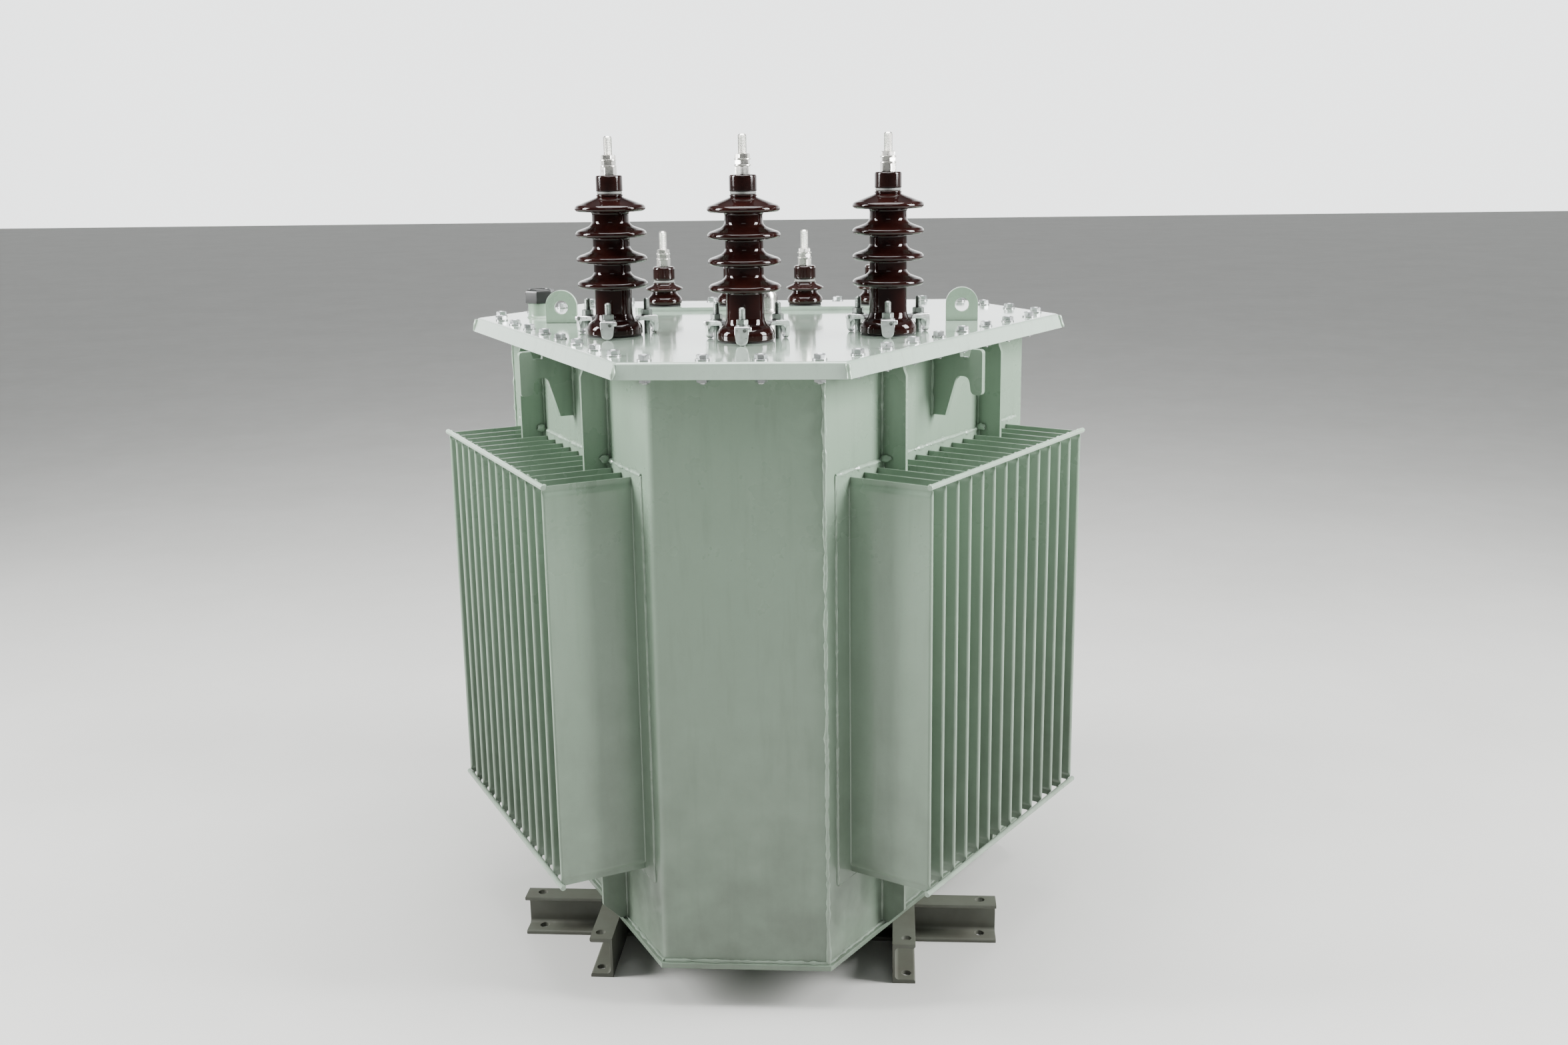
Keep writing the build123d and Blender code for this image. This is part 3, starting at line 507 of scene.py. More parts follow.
def enamel(name, dark, light, dirt_and_shade, gloss=(0.24, 0.34), low_shade_and_grime_share=0.85, wave=0.4, coat=0.2, hollow=0.45):
    """Sprayed paint on steel sheet: cloudy colour, orange peel, faint sheet waves, dirt specks and streaks,
    painted shade low down broken up by patchy grime, and painted shade in corners.
    """
    look = Look(name, Coat_Weight=coat, Coat_Roughness=0.08)
    colour = look.mix(look.ramp(look.noise(1.6, 4), 0.25, 0.75), dark, light)
    speckle = look.ramp(look.noise(420, 2), 0.62, 0.78, 0.0, 0.18)
    colour = look.mix(speckle, colour, dirt_and_shade)
    streaks = look.ramp(look.noise(9, 5, stretch=(6, 6, 0.7)), 0.52, 0.78, 0.0, 0.14)
    colour = look.mix(streaks, colour, dirt_and_shade)
    # Painted shade: the colour darkens towards the bottom, broken up by patchy grime; the same mask roughens
    # the paint.
    low_down = look.ramp(look.place("Z"), 0.04, 0.85, 1.0, 0.0)
    patchy = look.ramp(look.noise(14, 6), 0.25, 0.75, 0.55, 1.0)
    low_shade_and_grime = look.math("MULTIPLY", look.math("MULTIPLY", low_down, patchy), low_shade_and_grime_share)
    # Painted shade in tight corners, darkening the colour where parts meet.
    corners = look.math("MULTIPLY", look.shaded_corners(0.012), hollow)
    colour = look.mix(look.math("MAXIMUM", low_shade_and_grime, corners), colour, dirt_and_shade)
    rough = look.cloud(12, 4, *gloss)
    rough = look.math("ADD", rough, look.math("MULTIPLY", low_shade_and_grime, 0.30))
    look.bump(look.noise(3.2, 2), 4.0 * MM * wave)
    look.bump(look.noise(160, 2), 0.10 * MM)
    look.bump(look.noise(900, 1), 0.02 * MM)
    return look.done(colour, rough)


def metal(name, dark, light, gloss, grain=700, depth=0.03, patch=60, stretch=None, corner_shade=None):
    """Bare or plated metal: clouded colour, fine grain, painted shade in the corners."""
    look = Look(name, metallic=1.0)
    colour = look.mix(look.cloud(patch, 5), dark, light)
    if corner_shade:
        # Painted shade: tight corners darkened towards this colour.
        colour = look.mix(look.math("MULTIPLY", look.shaded_corners(0.006), 0.8), colour, corner_shade)
    rough = look.cloud(patch * 2.5, 4, *gloss, stretch)
    look.bump(look.noise(grain, 3, stretch=stretch), depth * MM)
    return look.done(colour, rough)


def plain(name, dark, light, gloss, grain=500, depth=0.05, patch=40, **shader):
    """A non-metal surface: clouded colour, fine grain and uneven gloss."""
    look = Look(name, **shader)
    colour = look.mix(look.cloud(patch, 5), dark, light)
    rough = look.cloud(patch * 1.7, 4, *gloss)
    look.bump(look.noise(grain, 3), depth * MM)
    return look.done(colour, rough)


def glaze():
    """Fired brown glaze, nearly black where thick and redder where it thins on the edges."""
    look = Look("brown_glaze", Specular_IOR_Level=0.38)
    cloudy = look.cloud(22, 4)
    deep = look.mix(cloudy, (0.0080, 0.0022, 0.0020), (0.0170, 0.0042, 0.0032))
    colour = look.mix(look.edges(0.51, 0.60), deep, (0.030, 0.0075, 0.0050))
    specks = look.ramp(look.noise(600, 2), 0.68, 0.80, 0.0, 0.4)
    colour = look.mix(specks, colour, (0.026, 0.012, 0.009))
    rough = look.ramp(look.noise(35, 4), 0.35, 0.7, 0.035, 0.085)
    look.bump(look.noise(28, 2), 0.30 * MM)
    look.bump(look.noise(90, 3, stretch=(1, 1, 0.12)), 0.10 * MM)
    look.bump(look.noise(420, 2), 0.010 * MM)
    return look.done(colour, rough)


def layered(name, dark, light, pitch, axis, gloss, metallic=0.0):
    """Stacked laminations or wound turns: fine lines across one axis."""
    look = Look(name, metallic=metallic)
    at = look.math("MULTIPLY", look.place(axis), 2 * pi / pitch)
    line = look.ramp(look.math("SINE", at, 0.0), -1.0, 1.0)
    cloudy = look.cloud(25, 4)
    colour = look.mix(look.math("MULTIPLY", line, cloudy), dark, light)
    rough = look.cloud(90, 3, *gloss)
    look.bump(line, 0.25 * pitch)
    look.bump(look.noise(500, 2), 0.03 * MM)
    return look.done(colour, rough)


SAGE_DARK = (0.212, 0.298, 0.220)
SAGE_LIGHT = (0.245, 0.336, 0.254)
# The colour of dirt specks and streaks, and of the painted shade low down and in corners.
SAGE_DIRT_AND_SHADE = (0.058, 0.066, 0.049)
tank_enamel = enamel("tank_enamel", SAGE_DARK, SAGE_LIGHT, SAGE_DIRT_AND_SHADE)
# The cover's paint is the tank's sage made lighter: painted light for the brightly lit cover top.
lit_cover_enamel = enamel(
    "lit_cover_enamel", (0.34, 0.44, 0.36), (0.40, 0.50, 0.42), SAGE_DIRT_AND_SHADE, (0.10, 0.17), 0.2, 0.5, coat=0.9
)
# Welds and tie rods take the tank's sage made lighter, with little corner shade: painted highlight for beads
# that catch the light.
lit_weld_enamel = enamel(
    "lit_weld_enamel", SAGE_LIGHT, (0.38, 0.48, 0.39), SAGE_DIRT_AND_SHADE, (0.12, 0.24), wave=0.2, hollow=0.08
)
# The base channels take a much darker copy of the tank's sage: painted shade under the tank.
shaded_base_enamel = enamel(
    "shaded_base_enamel", (0.085, 0.102, 0.080), (0.115, 0.135, 0.105), (0.060, 0.055, 0.042), (0.42, 0.60), 0.8, 0.3
)
brown_glaze = glaze()
cap_brown = plain(
    "cap_brown", (0.0080, 0.0032, 0.0028), (0.0160, 0.0055, 0.0045), (0.07, 0.15), 350, 0.02
)
zinc = metal("zinc_plate", (0.52, 0.54, 0.56), (0.72, 0.74, 0.74), (0.24, 0.40), corner_shade=(0.20, 0.20, 0.18))
dull_zinc = metal("dull_zinc", (0.24, 0.27, 0.25), (0.37, 0.40, 0.38), (0.34, 0.50), corner_shade=(0.10, 0.11, 0.10))
tin = metal("tinned_brass", (0.84, 0.83, 0.78), (0.95, 0.94, 0.89), (0.24, 0.34), 900, 0.01)
cast_aluminium = metal(
    "cast_aluminium", (0.78, 0.79, 0.79), (0.91, 0.92, 0.92), (0.26, 0.42), 420, 0.10,
    corner_shade=(0.22, 0.22, 0.21),
)
black_rubber = plain("black_rubber", (0.012, 0.012, 0.012), (0.028, 0.028, 0.027), (0.55, 0.75), 300, 0.06)
grey_rubber = plain("grey_rubber", (0.20, 0.21, 0.20), (0.28, 0.29, 0.27), (0.50, 0.68), 300, 0.05)
black_plastic = plain(
    "black_plastic", (0.006, 0.007, 0.007), (0.013, 0.014, 0.013), (0.25, 0.42), 650, 0.06
)
resin = plain("insulation_resin", (0.060, 0.028, 0.012), (0.100, 0.050, 0.022), (0.30, 0.45), 300, 0.05)
satin_steel = metal("satin_steel", (0.55, 0.54, 0.51), (0.72, 0.71, 0.68), (0.20, 0.30), 900, 0.01)
spring_wire = metal("spring_wire", (0.32, 0.32, 0.33), (0.45, 0.45, 0.46), (0.22, 0.34))
brass = metal(
    "valve_brass", (0.58, 0.40, 0.17), (0.74, 0.55, 0.26), (0.26, 0.40), 300, 0.12, corner_shade=(0.2, 0.13, 0.05)
)
wheel_red = plain("wheel_red", (0.30, 0.018, 0.012), (0.42, 0.032, 0.020), (0.26, 0.42), 220, 0.10)
plate_metal = metal(
    "brushed_aluminium", (0.55, 0.56, 0.56), (0.74, 0.75, 0.75), (0.22, 0.36), 260, 0.03, 30, (1, 1, 14)
)
core_lines = layered(
    "core_laminations", (0.10, 0.10, 0.11), (0.26, 0.26, 0.27), 2.2 * MM, "Z", (0.35, 0.5), 0.8
)
turns_lines = layered("wound_turns", (0.20, 0.075, 0.030), (0.50, 0.22, 0.10), 3.4 * MM, "Z", (0.25, 0.4))
pressboard = plain("pressboard", (0.36, 0.25, 0.13), (0.47, 0.34, 0.19), (0.65, 0.8), 240, 0.12)
copper = metal("copper_lead", (0.62, 0.26, 0.14), (0.80, 0.40, 0.24), (0.24, 0.40))
black_paint = plain("frame_paint", (0.05, 0.052, 0.055), (0.08, 0.082, 0.085), (0.4, 0.55), 200, 0.08)


# ---------------- tank, cover and base
def wall_matrix(angle):
    """From a wall's own axes (x along it, y outward, as on the rear wall) to its place."""
    return Matrix.Rotation(radians(angle), 4, "Z")


def corner(angle_1, apothem_1, angle_2, apothem_2):
    """Where two walls meet, from each one's outward normal and apothem."""
    t1, t2 = radians(angle_1), radians(angle_2)
    span = sin(t2 - t1)
    x = (apothem_1 * sin(t2) - apothem_2 * sin(t1)) / span
    y = (apothem_2 * cos(t1) - apothem_1 * cos(t2)) / span
    return Vector((x, y))


def plan(long_apothem, short_apothem):
    """The six corners of the tank's plan."""
    points = []
    for angle in LONG_ANGLES:
        points.append(corner(angle - 60, short_apothem, angle, long_apothem))
        points.append(corner(angle, long_apothem, angle + 60, short_apothem))
    return points


def rounded_plan(long_apothem, short_apothem, cut, steps=4):
    corners = [(p.x / MM, p.y / MM, cut) for p in plan(long_apothem, short_apothem)]
    return rounded(corners, steps)


def make_cover():
    """A folded lid: flat top, rounded bend, flared skirt and its inner face, with mitred corners."""
    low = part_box("cover_plate")[0]
    flare = 8 * MM
    foot_short = -low.y
    foot_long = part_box("cover_plate")[1].y
    top_short, top_long = foot_short - flare, foot_long - flare
    bend, sheet = 5.5 * MM, 5 * MM
    ease = 0.6 * MM
    levels = [(-sheet - 1 * MM, cover_top - 7 * MM), (-sheet + flare, skirt_low + ease)]
    levels += [(-sheet + flare + ease, skirt_low), (flare - ease, skirt_low), (flare, skirt_low + ease)]
    for i in range(8):
        angle = radians(6 + 84 * i / 7)
        grow = bend * cos(angle) - bend + 1.2 * MM * cos(angle)
        levels.append((grow, cover_top - bend + bend * sin(angle)))
    levels.append((-bend - 2 * MM, cover_top))
    rings = []
    for grow, z in levels:
        outline = rounded_plan(top_long + grow, top_short + grow, 5)
        rings.append([Vector((p.x, p.y, z)) for p in outline])
    Pile().add(loft(rings)).stand_in("cover_plate", "folded", lit_cover_enamel, "tank_paint", sharp=50)
    mitres = Pile()
    upper = plan(top_long + 0.2 * MM, top_short + 0.2 * MM)
    lower = plan(top_long + flare - 1.2 * MM, top_short + flare - 1.2 * MM)
    for i, (above, below) in enumerate(zip(upper, lower)):
        ends = [Vector((*above, cover_top - 3.2 * MM)), Vector((*below, skirt_low + 1.5 * MM))]
        mitres.add(bead(ends, 4.0 * MM, (*below, 0), 100 + i, step=1.6 * MM, sides=12))
    mitres.piece("cover_mitre_welds", lit_weld_enamel, "tank_paint")


def weld_round(name, grow, z, radius, seed):
    """A bead round the tank at one height."""
    outline = plan(tank_long + grow, tank_short + grow)
    pile = Pile()
    for i in range(6):
        ends = [Vector((*outline[i], z)), Vector((*outline[(i + 1) % 6], z))]
        pile.add(bead(ends, radius, (0, 0, 1), seed + i))
    pile.piece(name, lit_weld_enamel, "tank_paint")


def make_tank_welds():
    """Beads round the tank's foot, up its three corners and under its flange."""
    weld_round("tank_foot_weld", 0.5 * MM, tank_low + 1 * MM, 3.6 * MM, 10)
    seams = Pile()
    seam = corner(270, tank_short, 330, tank_long)
    for i, angle in enumerate((0, 120, 240)):
        place = wall_matrix(angle)
        ends = [place @ Vector((*seam, tank_low)), place @ Vector((*seam, flange_low - 2 * MM))]
        seams.add(bead(ends, 3.4 * MM, place @ Vector((*seam, 0)), 20 + i, sides=10))
    seams.piece("tank_corner_welds", lit_weld_enamel, "tank_paint")
    weld_round("flange_weld", 0.5 * MM, flange_low, 3.0 * MM, 30)


def fin_form(s, seed, half_t=4.7 * MM, half_pinch=1.3 * MM):
    """One pressed fin, standing out of the rear wall at s: pinched ends, a folded nose and eased roots."""
    low, high = panel_low + 10 * MM, panel_high - 10 * MM
    root = tank_long + 2.5 * MM
    ends = (0.0, 0.8, 4, 8, 10, 12, 14, 17, 21, 30, 60)
    levels = [low + e * MM for e in ends]
    levels += [low + (high - low) * k / 8 for k in range(1, 8)]
    levels += [high - e * MM for e in reversed(ends)]
    lean = 1.1 * MM * noise.noise(Vector((seed * 3.7, 1.2, 0.3)))
    bow = 1.6 * MM * noise.noise(Vector((seed * 5.3, 7.7, 0.9)))
    rings = []
    for z in levels:
        depth = min(z - low, high - z)
        share = min(1.0, max(0.0, (depth - 9 * MM) / (8 * MM)))
        share = share * share * (3 - 2 * share)
        half = half_pinch + (half_t - half_pinch) * share
        reach = fin_reach - max(0.0, 8 * MM - depth)
        swell = 1.4 * MM * share
        side = [(half + 2.2 * MM * share, root), (half + 0.4 * MM, root + 2.2 * MM)]
        for k in range(1, 6):
            t = k / 6
            belly = swell * sin(pi * t) * 0.5
            side.append((half + belly, root + (reach - half - root) * t))
        for k in range(6):
            angle = radians(90 * k / 5.0)
            side.append((half * cos(angle) if k < 5 else 0.0, reach - half + half * sin(angle)))
        ring = [Vector((-x, y, z)) for x, y in side[:-1]]
        ring += [Vector((x, y, z)) for x, y in reversed(side)]
        for point in ring:
            out = max(0.0, (point.y - root) / (fin_reach - root))
            bend = bow * sin(pi * (z - low) / (high - low))
            point.x += s + (lean + bend) * out * out
        rings.append(ring)
    return loft(rings)


def panel_form():
    """The flat sheet that the fins stand on."""
    x = panel_half / MM
    low, high = panel_low / MM, panel_high / MM
    outline = rounded([(-x, low, 6), (x, low, 6), (x, high, 6), (-x, high, 6)])
    upright = Matrix(((1, 0, 0, 0), (0, 0, 1, 0), (0, 1, 0, 0), (0, 0, 0, 1)))
    verts, faces = prism(outline, tank_long, tank_long + 3 * MM, 0.7 * MM)
    return [upright @ v for v in verts], faces


def fin_places():
    return [(i - (FIN_COUNT - 1) / 2) * fin_pitch for i in range(FIN_COUNT)]


def make_fin_banks():
    for number, (name, angle) in enumerate(TURNS.items()):
        bank = Pile()
        place = wall_matrix(angle)
        bank.add(panel_form(), place)
        for i, s in enumerate(fin_places()):
            bank.add(fin_form(s, number * 20 + i), place)
        bank.stand_in(f"fin_bank_{name}", "pressed", tank_enamel, "tank_paint")


def make_tie_rods():
    """Round bars across the fin noses, top and bottom, tacked to each fin."""
    bars = Pile()
    tacks = Pile()
    low, high = panel_low + 10 * MM, panel_high - 10 * MM
    y = fin_reach - 0.4 * MM
    corners = [(0.3, 0, 0), (4.6, 0, 0.8), (5.0, 0.9, 0.5), (5.0, rod_half / MM, 0)]
    length = 2 * rod_half / MM
    corners += [(5.0, length - 0.9, 0.5), (4.6, length, 0.8), (0.3, length, 0)]
    bar = turn(corners, 20, closed=False)
    for number, angle in enumerate(TURNS.values()):
        place = wall_matrix(angle)
        for z, inward in ((low, 1), (high, -1)):
            lay = Matrix.Translation((-rod_half, y, z)) @ Matrix.Rotation(pi / 2, 4, "Y")
            bars.add(bar, place @ lay)
            for i, s in enumerate(fin_places()):
                centre = Vector((s, y - 5.0 * MM, z - inward * 1.0 * MM))
                seed = number * 40 + i + (5 if inward > 0 else 0)
                tacks.add(blob(centre, 3.6 * MM, seed, (1.0, 1.1, 0.9)), place)
    bars.stand_in("fin_tie_rods", "round", lit_weld_enamel, "tank_paint")
    tacks.piece("tie_rod_tacks", lit_weld_enamel, "tank_paint")


def make_hooks():
    """Hook plates whose throats open downward, with rounded lobes and a notch over the skirt's edge."""
    low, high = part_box("lifting_hooks")[0].z / MM, flange_low / MM
    wall = tank_long / MM
    outline = [(wall, low, 0), (wall + 28, low, 1), (wall + 50.5, low + 75, 9), (wall + 75, low + 75, 13)]
    outline += [(wall + 80, low + 42, 9), (wall + 102.5, low + 42, 8), (wall + 102.5, high - 0.5, 8)]
    outline += [(wall + 80, high - 0.5, 1), (wall + 75.5, high - 16, 1), (wall + 58, high - 16, 1)]
    outline += [(wall + 55, high, 0), (wall, high, 0)]
    form = plate(rounded(outline, 8), 12 * MM, 1.0 * MM)
    hooks = Pile()
    for angle in TURNS.values():
        hooks.add(form, wall_matrix(angle))
    hooks.stand_in("lifting_hooks", "cut", tank_enamel, "tank_paint")


def make_wall_welds():
    """Beads along the fin panels, the ribs and the hooks."""
    panels = Pile()
    ribs = Pile()
    hooks = Pile()
    rib_s = fin_pitch * 4
    face = tank_long + 0.4 * MM
    over = tank_long + 3.2 * MM
    hook_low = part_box("lifting_hooks")[0].z
    for number, angle in enumerate(TURNS.values()):
        place = wall_matrix(angle)
        x = panel_half

        def run(pile, points, radius, seed):
            pile.add(bead([Vector(p) for p in points], radius, (0, 1, 0), seed), place)

        run(panels, [(-x, face, panel_high), (x, face, panel_high)], 4.2 * MM, 50 + number)
        run(panels, [(-x, face, panel_low), (x, face, panel_low)], 3.0 * MM, 55 + number)
        run(panels, [(-x, face, panel_low), (-x, face, panel_high)], 2.6 * MM, 60 + number)
        run(panels, [(x, face, panel_low), (x, face, panel_high)], 2.6 * MM, 65 + number)
        for i, s in enumerate(fin_places()):
            lump = noise.noise(Vector((number * 9.1, i * 3.3, 0.7)))
            centre = Vector((s + lump * 22 * MM, face + 1.8 * MM, panel_high + lump * 1.5 * MM))
            panels.add(blob(centre, (3.4 + lump) * MM, number * 30 + i, (1.5 + lump, 0.9, 0.7)), place)
        for side in (-1, 1):
            for flank in (-4.3 * MM, 4.3 * MM):
                s = side * rib_s + flank
                seed = 70 + number * 8 + side + flank / MM
                run(ribs, [(s, face, tank_low + 3 * MM), (s, face, panel_low - 2 * MM)], 2.3 * MM, seed)
                run(ribs, [(s, over, panel_low), (s, over, panel_high)], 2.0 * MM, seed + 2)
                run(ribs, [(s, face, panel_high + 2 * MM), (s, face, flange_low)], 2.3 * MM, seed + 4)
            for flank in (-7 * MM, 7 * MM):
                centre = Vector((side * rib_s + flank, face + 9 * MM, panel_high + 4 * MM))
                ribs.add(blob(centre, 9.4 * MM, number + side + 3, (0.6, 1.05, 0.75), 12, 20), place)
        for flank in (-6.4 * MM, 6.4 * MM):
            seed = 90 + number + flank / MM
            run(hooks, [(flank, face, hook_low), (flank, face, flange_low)], 2.8 * MM, seed)
    panels.piece("fin_panel_welds", lit_weld_enamel, "tank_paint")
    ribs.piece("rib_welds", lit_weld_enamel, "tank_paint")
    hooks.piece("hook_welds", lit_weld_enamel, "tank_paint")


# ---------------- bolts round the cover
def make_cover_bolts():
    """A hex-headed bolt in each hole, with washers above and below and a nut under the flange."""
    heads = Pile()
    nuts = Pile()
    head_h, washer_h, nut_h = 7.5 * MM, 2.5 * MM, 10 * MM
    head = hex_part(M12_ACROSS, head_h, both=False, dish=0.5 * MM)
    hex_nut = hex_part(M12_ACROSS, nut_h, bore=5.4 * MM)
    ring = washer(12.4 * MM, 6.5 * MM, washer_h)
    for number, pair in enumerate(solids("cover_bolts")):
        centre = middle(pair)
        spin = Matrix.Rotation(2.4 * number, 4, "Z")
        tail, top = pair[0].z, pair[1].z

        def put(pile, form, z):
            pile.add(form, Matrix.Translation((centre.x, centre.y, z)) @ spin)

        put(heads, head, top - head_h)
        put(heads, threaded(6 * MM, M12_PITCH, 0, top - head_h - tail + 1 * MM, 16, 4), tail)
        put(nuts, ring, cover_top)
        nut_high = flange_low - washer_h
        put(nuts, ring, nut_high)
        put(nuts, hex_nut, nut_high - nut_h)
    heads.stand_in("cover_bolts", "threaded", zinc, "zinc_plate")
    nuts.stand_in("cover_nuts", "chamfered", zinc, "zinc_plate")


# ---------------- bushings, terminals and clamps
HV_NAMES = ("a", "b", "c")
LV_NAMES = ("a", "b", "c", "n")
SHED_Z = (96, 142, 188, 234)


def hv_outline():
    """Flanged foot, plain stem, four sheds with a drooping rim, and the neck, above the cover's top."""
    outline = [(9, -70, 0), (30, -70, 2), (30, 2, 0.5), (50, 2, 1.5), (52, 4, 1.5), (52, 17, 5)]
    outline += [(46, 25, 5), (38, 28.5, 4), (34.5, 38, 6)]
    for z in SHED_Z:
        outline += [(34, z - 9.5, 2.5), (38, z - 6.6, 3), (56, z - 4.8, 2), (58.5, z - 6.8, 1.5)]
        outline += [(61, z - 6.4, 2.6), (64.7, z - 3.6, 2.4), (64.7, z + 1.4, 2.4)]
        outline += [(60.4, z + 5.0, 3), (56, z + 6.4, 2)]
        if z != SHED_Z[-1]:
            outline += [(39.5, z + 12.6, 4), (34.2, z + 18.5, 4)]
    outline += [(44, 245.2, 4), (26.5, 251.6, 3), (22.6, 253.6, 0.8), (24.4, 254.6, 0.8), (24.4, 257, 0.8)]
    return outline + [(21.5, 258, 0.5), (9, 258, 0)]


def lv_outline():
    """Flanged foot, waisted stem and one shed, above the mounting plate."""
    outline = [(9, -56, 0), (22, -56, 1.5), (22, 2, 0.5), (32, 2, 1.2), (37, 5, 3), (38.2, 11.5, 4)]
    outline += [(34.5, 18, 5), (28.5, 23, 4), (26.4, 29, 3), (26.4, 31.6, 1.0), (30, 32.2, 1)]
    outline += [(38.5, 32.2, 2.2), (40.2, 36.4, 2.4), (34, 39.6, 3), (25, 43.2, 3), (22.4, 46, 0.8)]
    return outline + [(23.2, 46.8, 0.6), (23.2, 48.4, 0.6), (21, 49, 0.4), (9, 49, 0)]


def rubber_ring(inner, outer, swell, height, edge, middle_edge):
    """A pressed ring whose rim swells at half its height."""
    rim = [(outer, 0, edge), (outer + swell, height / 2, middle_edge), (outer, height, edge)]
    return turn([(inner, 0, 0), *rim, (inner, height, 0)])


def make_bushings():
    """Porcelains, each with a rubber foot and, over its neck, a grey ring and a brown cap."""
    hv_caps, lv_caps, gaskets, feet = Pile(), Pile(), Pile(), Pile()
    hv_cap = turn([(9, 0, 0), (24.5, 0, 2.0), (24.5, 28.5, 4.0), (9, 28.5, 0)])
    lv_cap = turn([(9, 0, 0), (23, 0, 4.5), (23, 28.5, 5.5), (9, 28.5, 0)])
    hv_rings = rubber_ring(9, 22.6, 0.8, 5, 1.0, 1.5), rubber_ring(31, 49, 0.6, 2, 0.4, 0.4)
    lv_rings = rubber_ring(9, 21, 0.8, 5, 1.0, 1.5), rubber_ring(23, 34, 0.5, 2, 0.4, 0.4)
    hv_body, lv_body = turn(hv_outline(), 96), turn(lv_outline(), 80)
    hv = (HV_NAMES, cover_top, hv_body, 258, hv_rings, hv_caps, hv_cap)
    lv = (LV_NAMES, lv_base, lv_body, 49, lv_rings, lv_caps, lv_cap)
    for kind, (names, base, body, neck, (seal, foot), caps, cap) in (("hv", hv), ("lv", lv)):
        for name in names:
            node = f"{kind}_porcelain_{name}"
            place = axis_of(node) + Vector((0, 0, base))
            Pile().at(body, place).stand_in(node, "glazed", brown_glaze, "porcelain", sharp=60)
            caps.at(cap, place + Vector((0, 0, (neck + 5) * MM)))
            gaskets.at(seal, place + Vector((0, 0, neck * MM)))
            feet.at(foot, place)
    hv_caps.stand_in("hv_caps", "rounded", cap_brown, "porcelain")
    lv_caps.stand_in("lv_caps", "rounded", cap_brown, "porcelain")
    gaskets.piece("cap_gaskets_pressed", grey_rubber, "grey_gasket", replaces=("bushing_cap_gaskets",))
    feet.piece("base_gaskets_pressed", black_rubber, "gasket_rubber", replaces=("bushing_base_gaskets",))


def make_terminals(kind):
    """Threaded studs with a clamping nut, then two washers and two nuts on each."""
    studs = Pile()
    nuts = Pile()
    for low, high in solids(f"{kind}_terminal_studs"):
        studs.at(threaded(8 * MM, M16_PITCH, 0, high.z - low.z), foot_of((low, high)))
    for number, (low, high) in enumerate(solids(f"{kind}_terminal_nuts")):
        height = high.z - low.z
        across = min(high.x - low.x, high.y - low.y)
        spin = Matrix.Rotation(0.9 * number, 4, "Z")
        if height < 4 * MM:
            form = washer(across / 2, 8.5 * MM, height)
        else:
            form = hex_part((26 if height > 12 * MM else 24) * MM, height, bore=7.2 * MM)
        nuts.add(form, Matrix.Translation(foot_of((low, high))) @ spin)
    studs.stand_in(f"{kind}_terminal_studs", "threaded", tin, "tinned_brass")
    nuts.stand_in(f"{kind}_terminal_nuts", "chamfered", tin, "tinned_brass")


def clamp_form():
    """A cast clamp along +X from its bushing: an arm to the shoulder and a hollowed leg with a round foot."""
    side = rounded([
        (44, 25, 1.5), (45, 32, 4), (56, 34, 3), (82.2, 34, 3), (83.2, 2, 1.5), (82, 0.2, 1), (76.5, 0.2, 1),
        (74.6, 3, 1.5), (77.4, 7, 3), (76, 15, 6), (70, 22.5, 8), (60, 26.6, 6), (50, 25.4, 3),
    ])
    count = len(side)
    inward = []
    for i in range(count):
        along = (side[(i + 1) % count] - side[i - 1]).normalized()
        inward.append(Vector((-along.y, along.x)) * -1)
    half, foot_r, knee = 12.5, 10.8, 25.0
    places = [(y, 0) for y in (0, 2.4, 4.6, 6.6, 8.2, 9.4, 10.4, 11.0)]
    places += [(11.6, 0.15), (12.1, 0.7), (half, 1.6)]
    places = [(-y, inset) for y, inset in reversed(places[1:])] + places
    rings = []
    for y, inset in places:
        reach = abs(y)
        foot = foot_r - sqrt(foot_r ** 2 - reach ** 2) if reach < 10.5 else 8.3 + (reach - 10.5) * 7.5
        ring = []
        for point, normal in zip(side, inward):
            at = (point + normal * inset * MM) / MM
            z = at.y if at.y > knee else foot + at.y * (knee - foot) / knee
            narrow = 0.84 + 0.16 * min(1.0, max(0.0, (at.x - 46) / 10))
            ring.append(Vector((at.x, y * narrow, z)) * MM)
        rings.append(ring)
    hole = Matrix.Translation((0.075, 5.4 * MM, 0.027)) @ Matrix.Rotation(pi / 2, 4, "Y")
    verts, faces = turn([(0.2, 0, 0), (3.4, 0, 0), (3.4, 20, 0), (0.2, 20, 0)], 20, closed=False)
    body = carved(loft(rings), ([hole @ v for v in verts], faces))
    lug = rounded([(74.5, 11, 1), (82, 11, 1), (82, 17.5, 2.5), (74.5, 17.5, 2.5)])
    whole = Pile().add(body).add(prism(lug, 25 * MM, 33 * MM, 1.2 * MM))
    return whole.verts, whole.faces


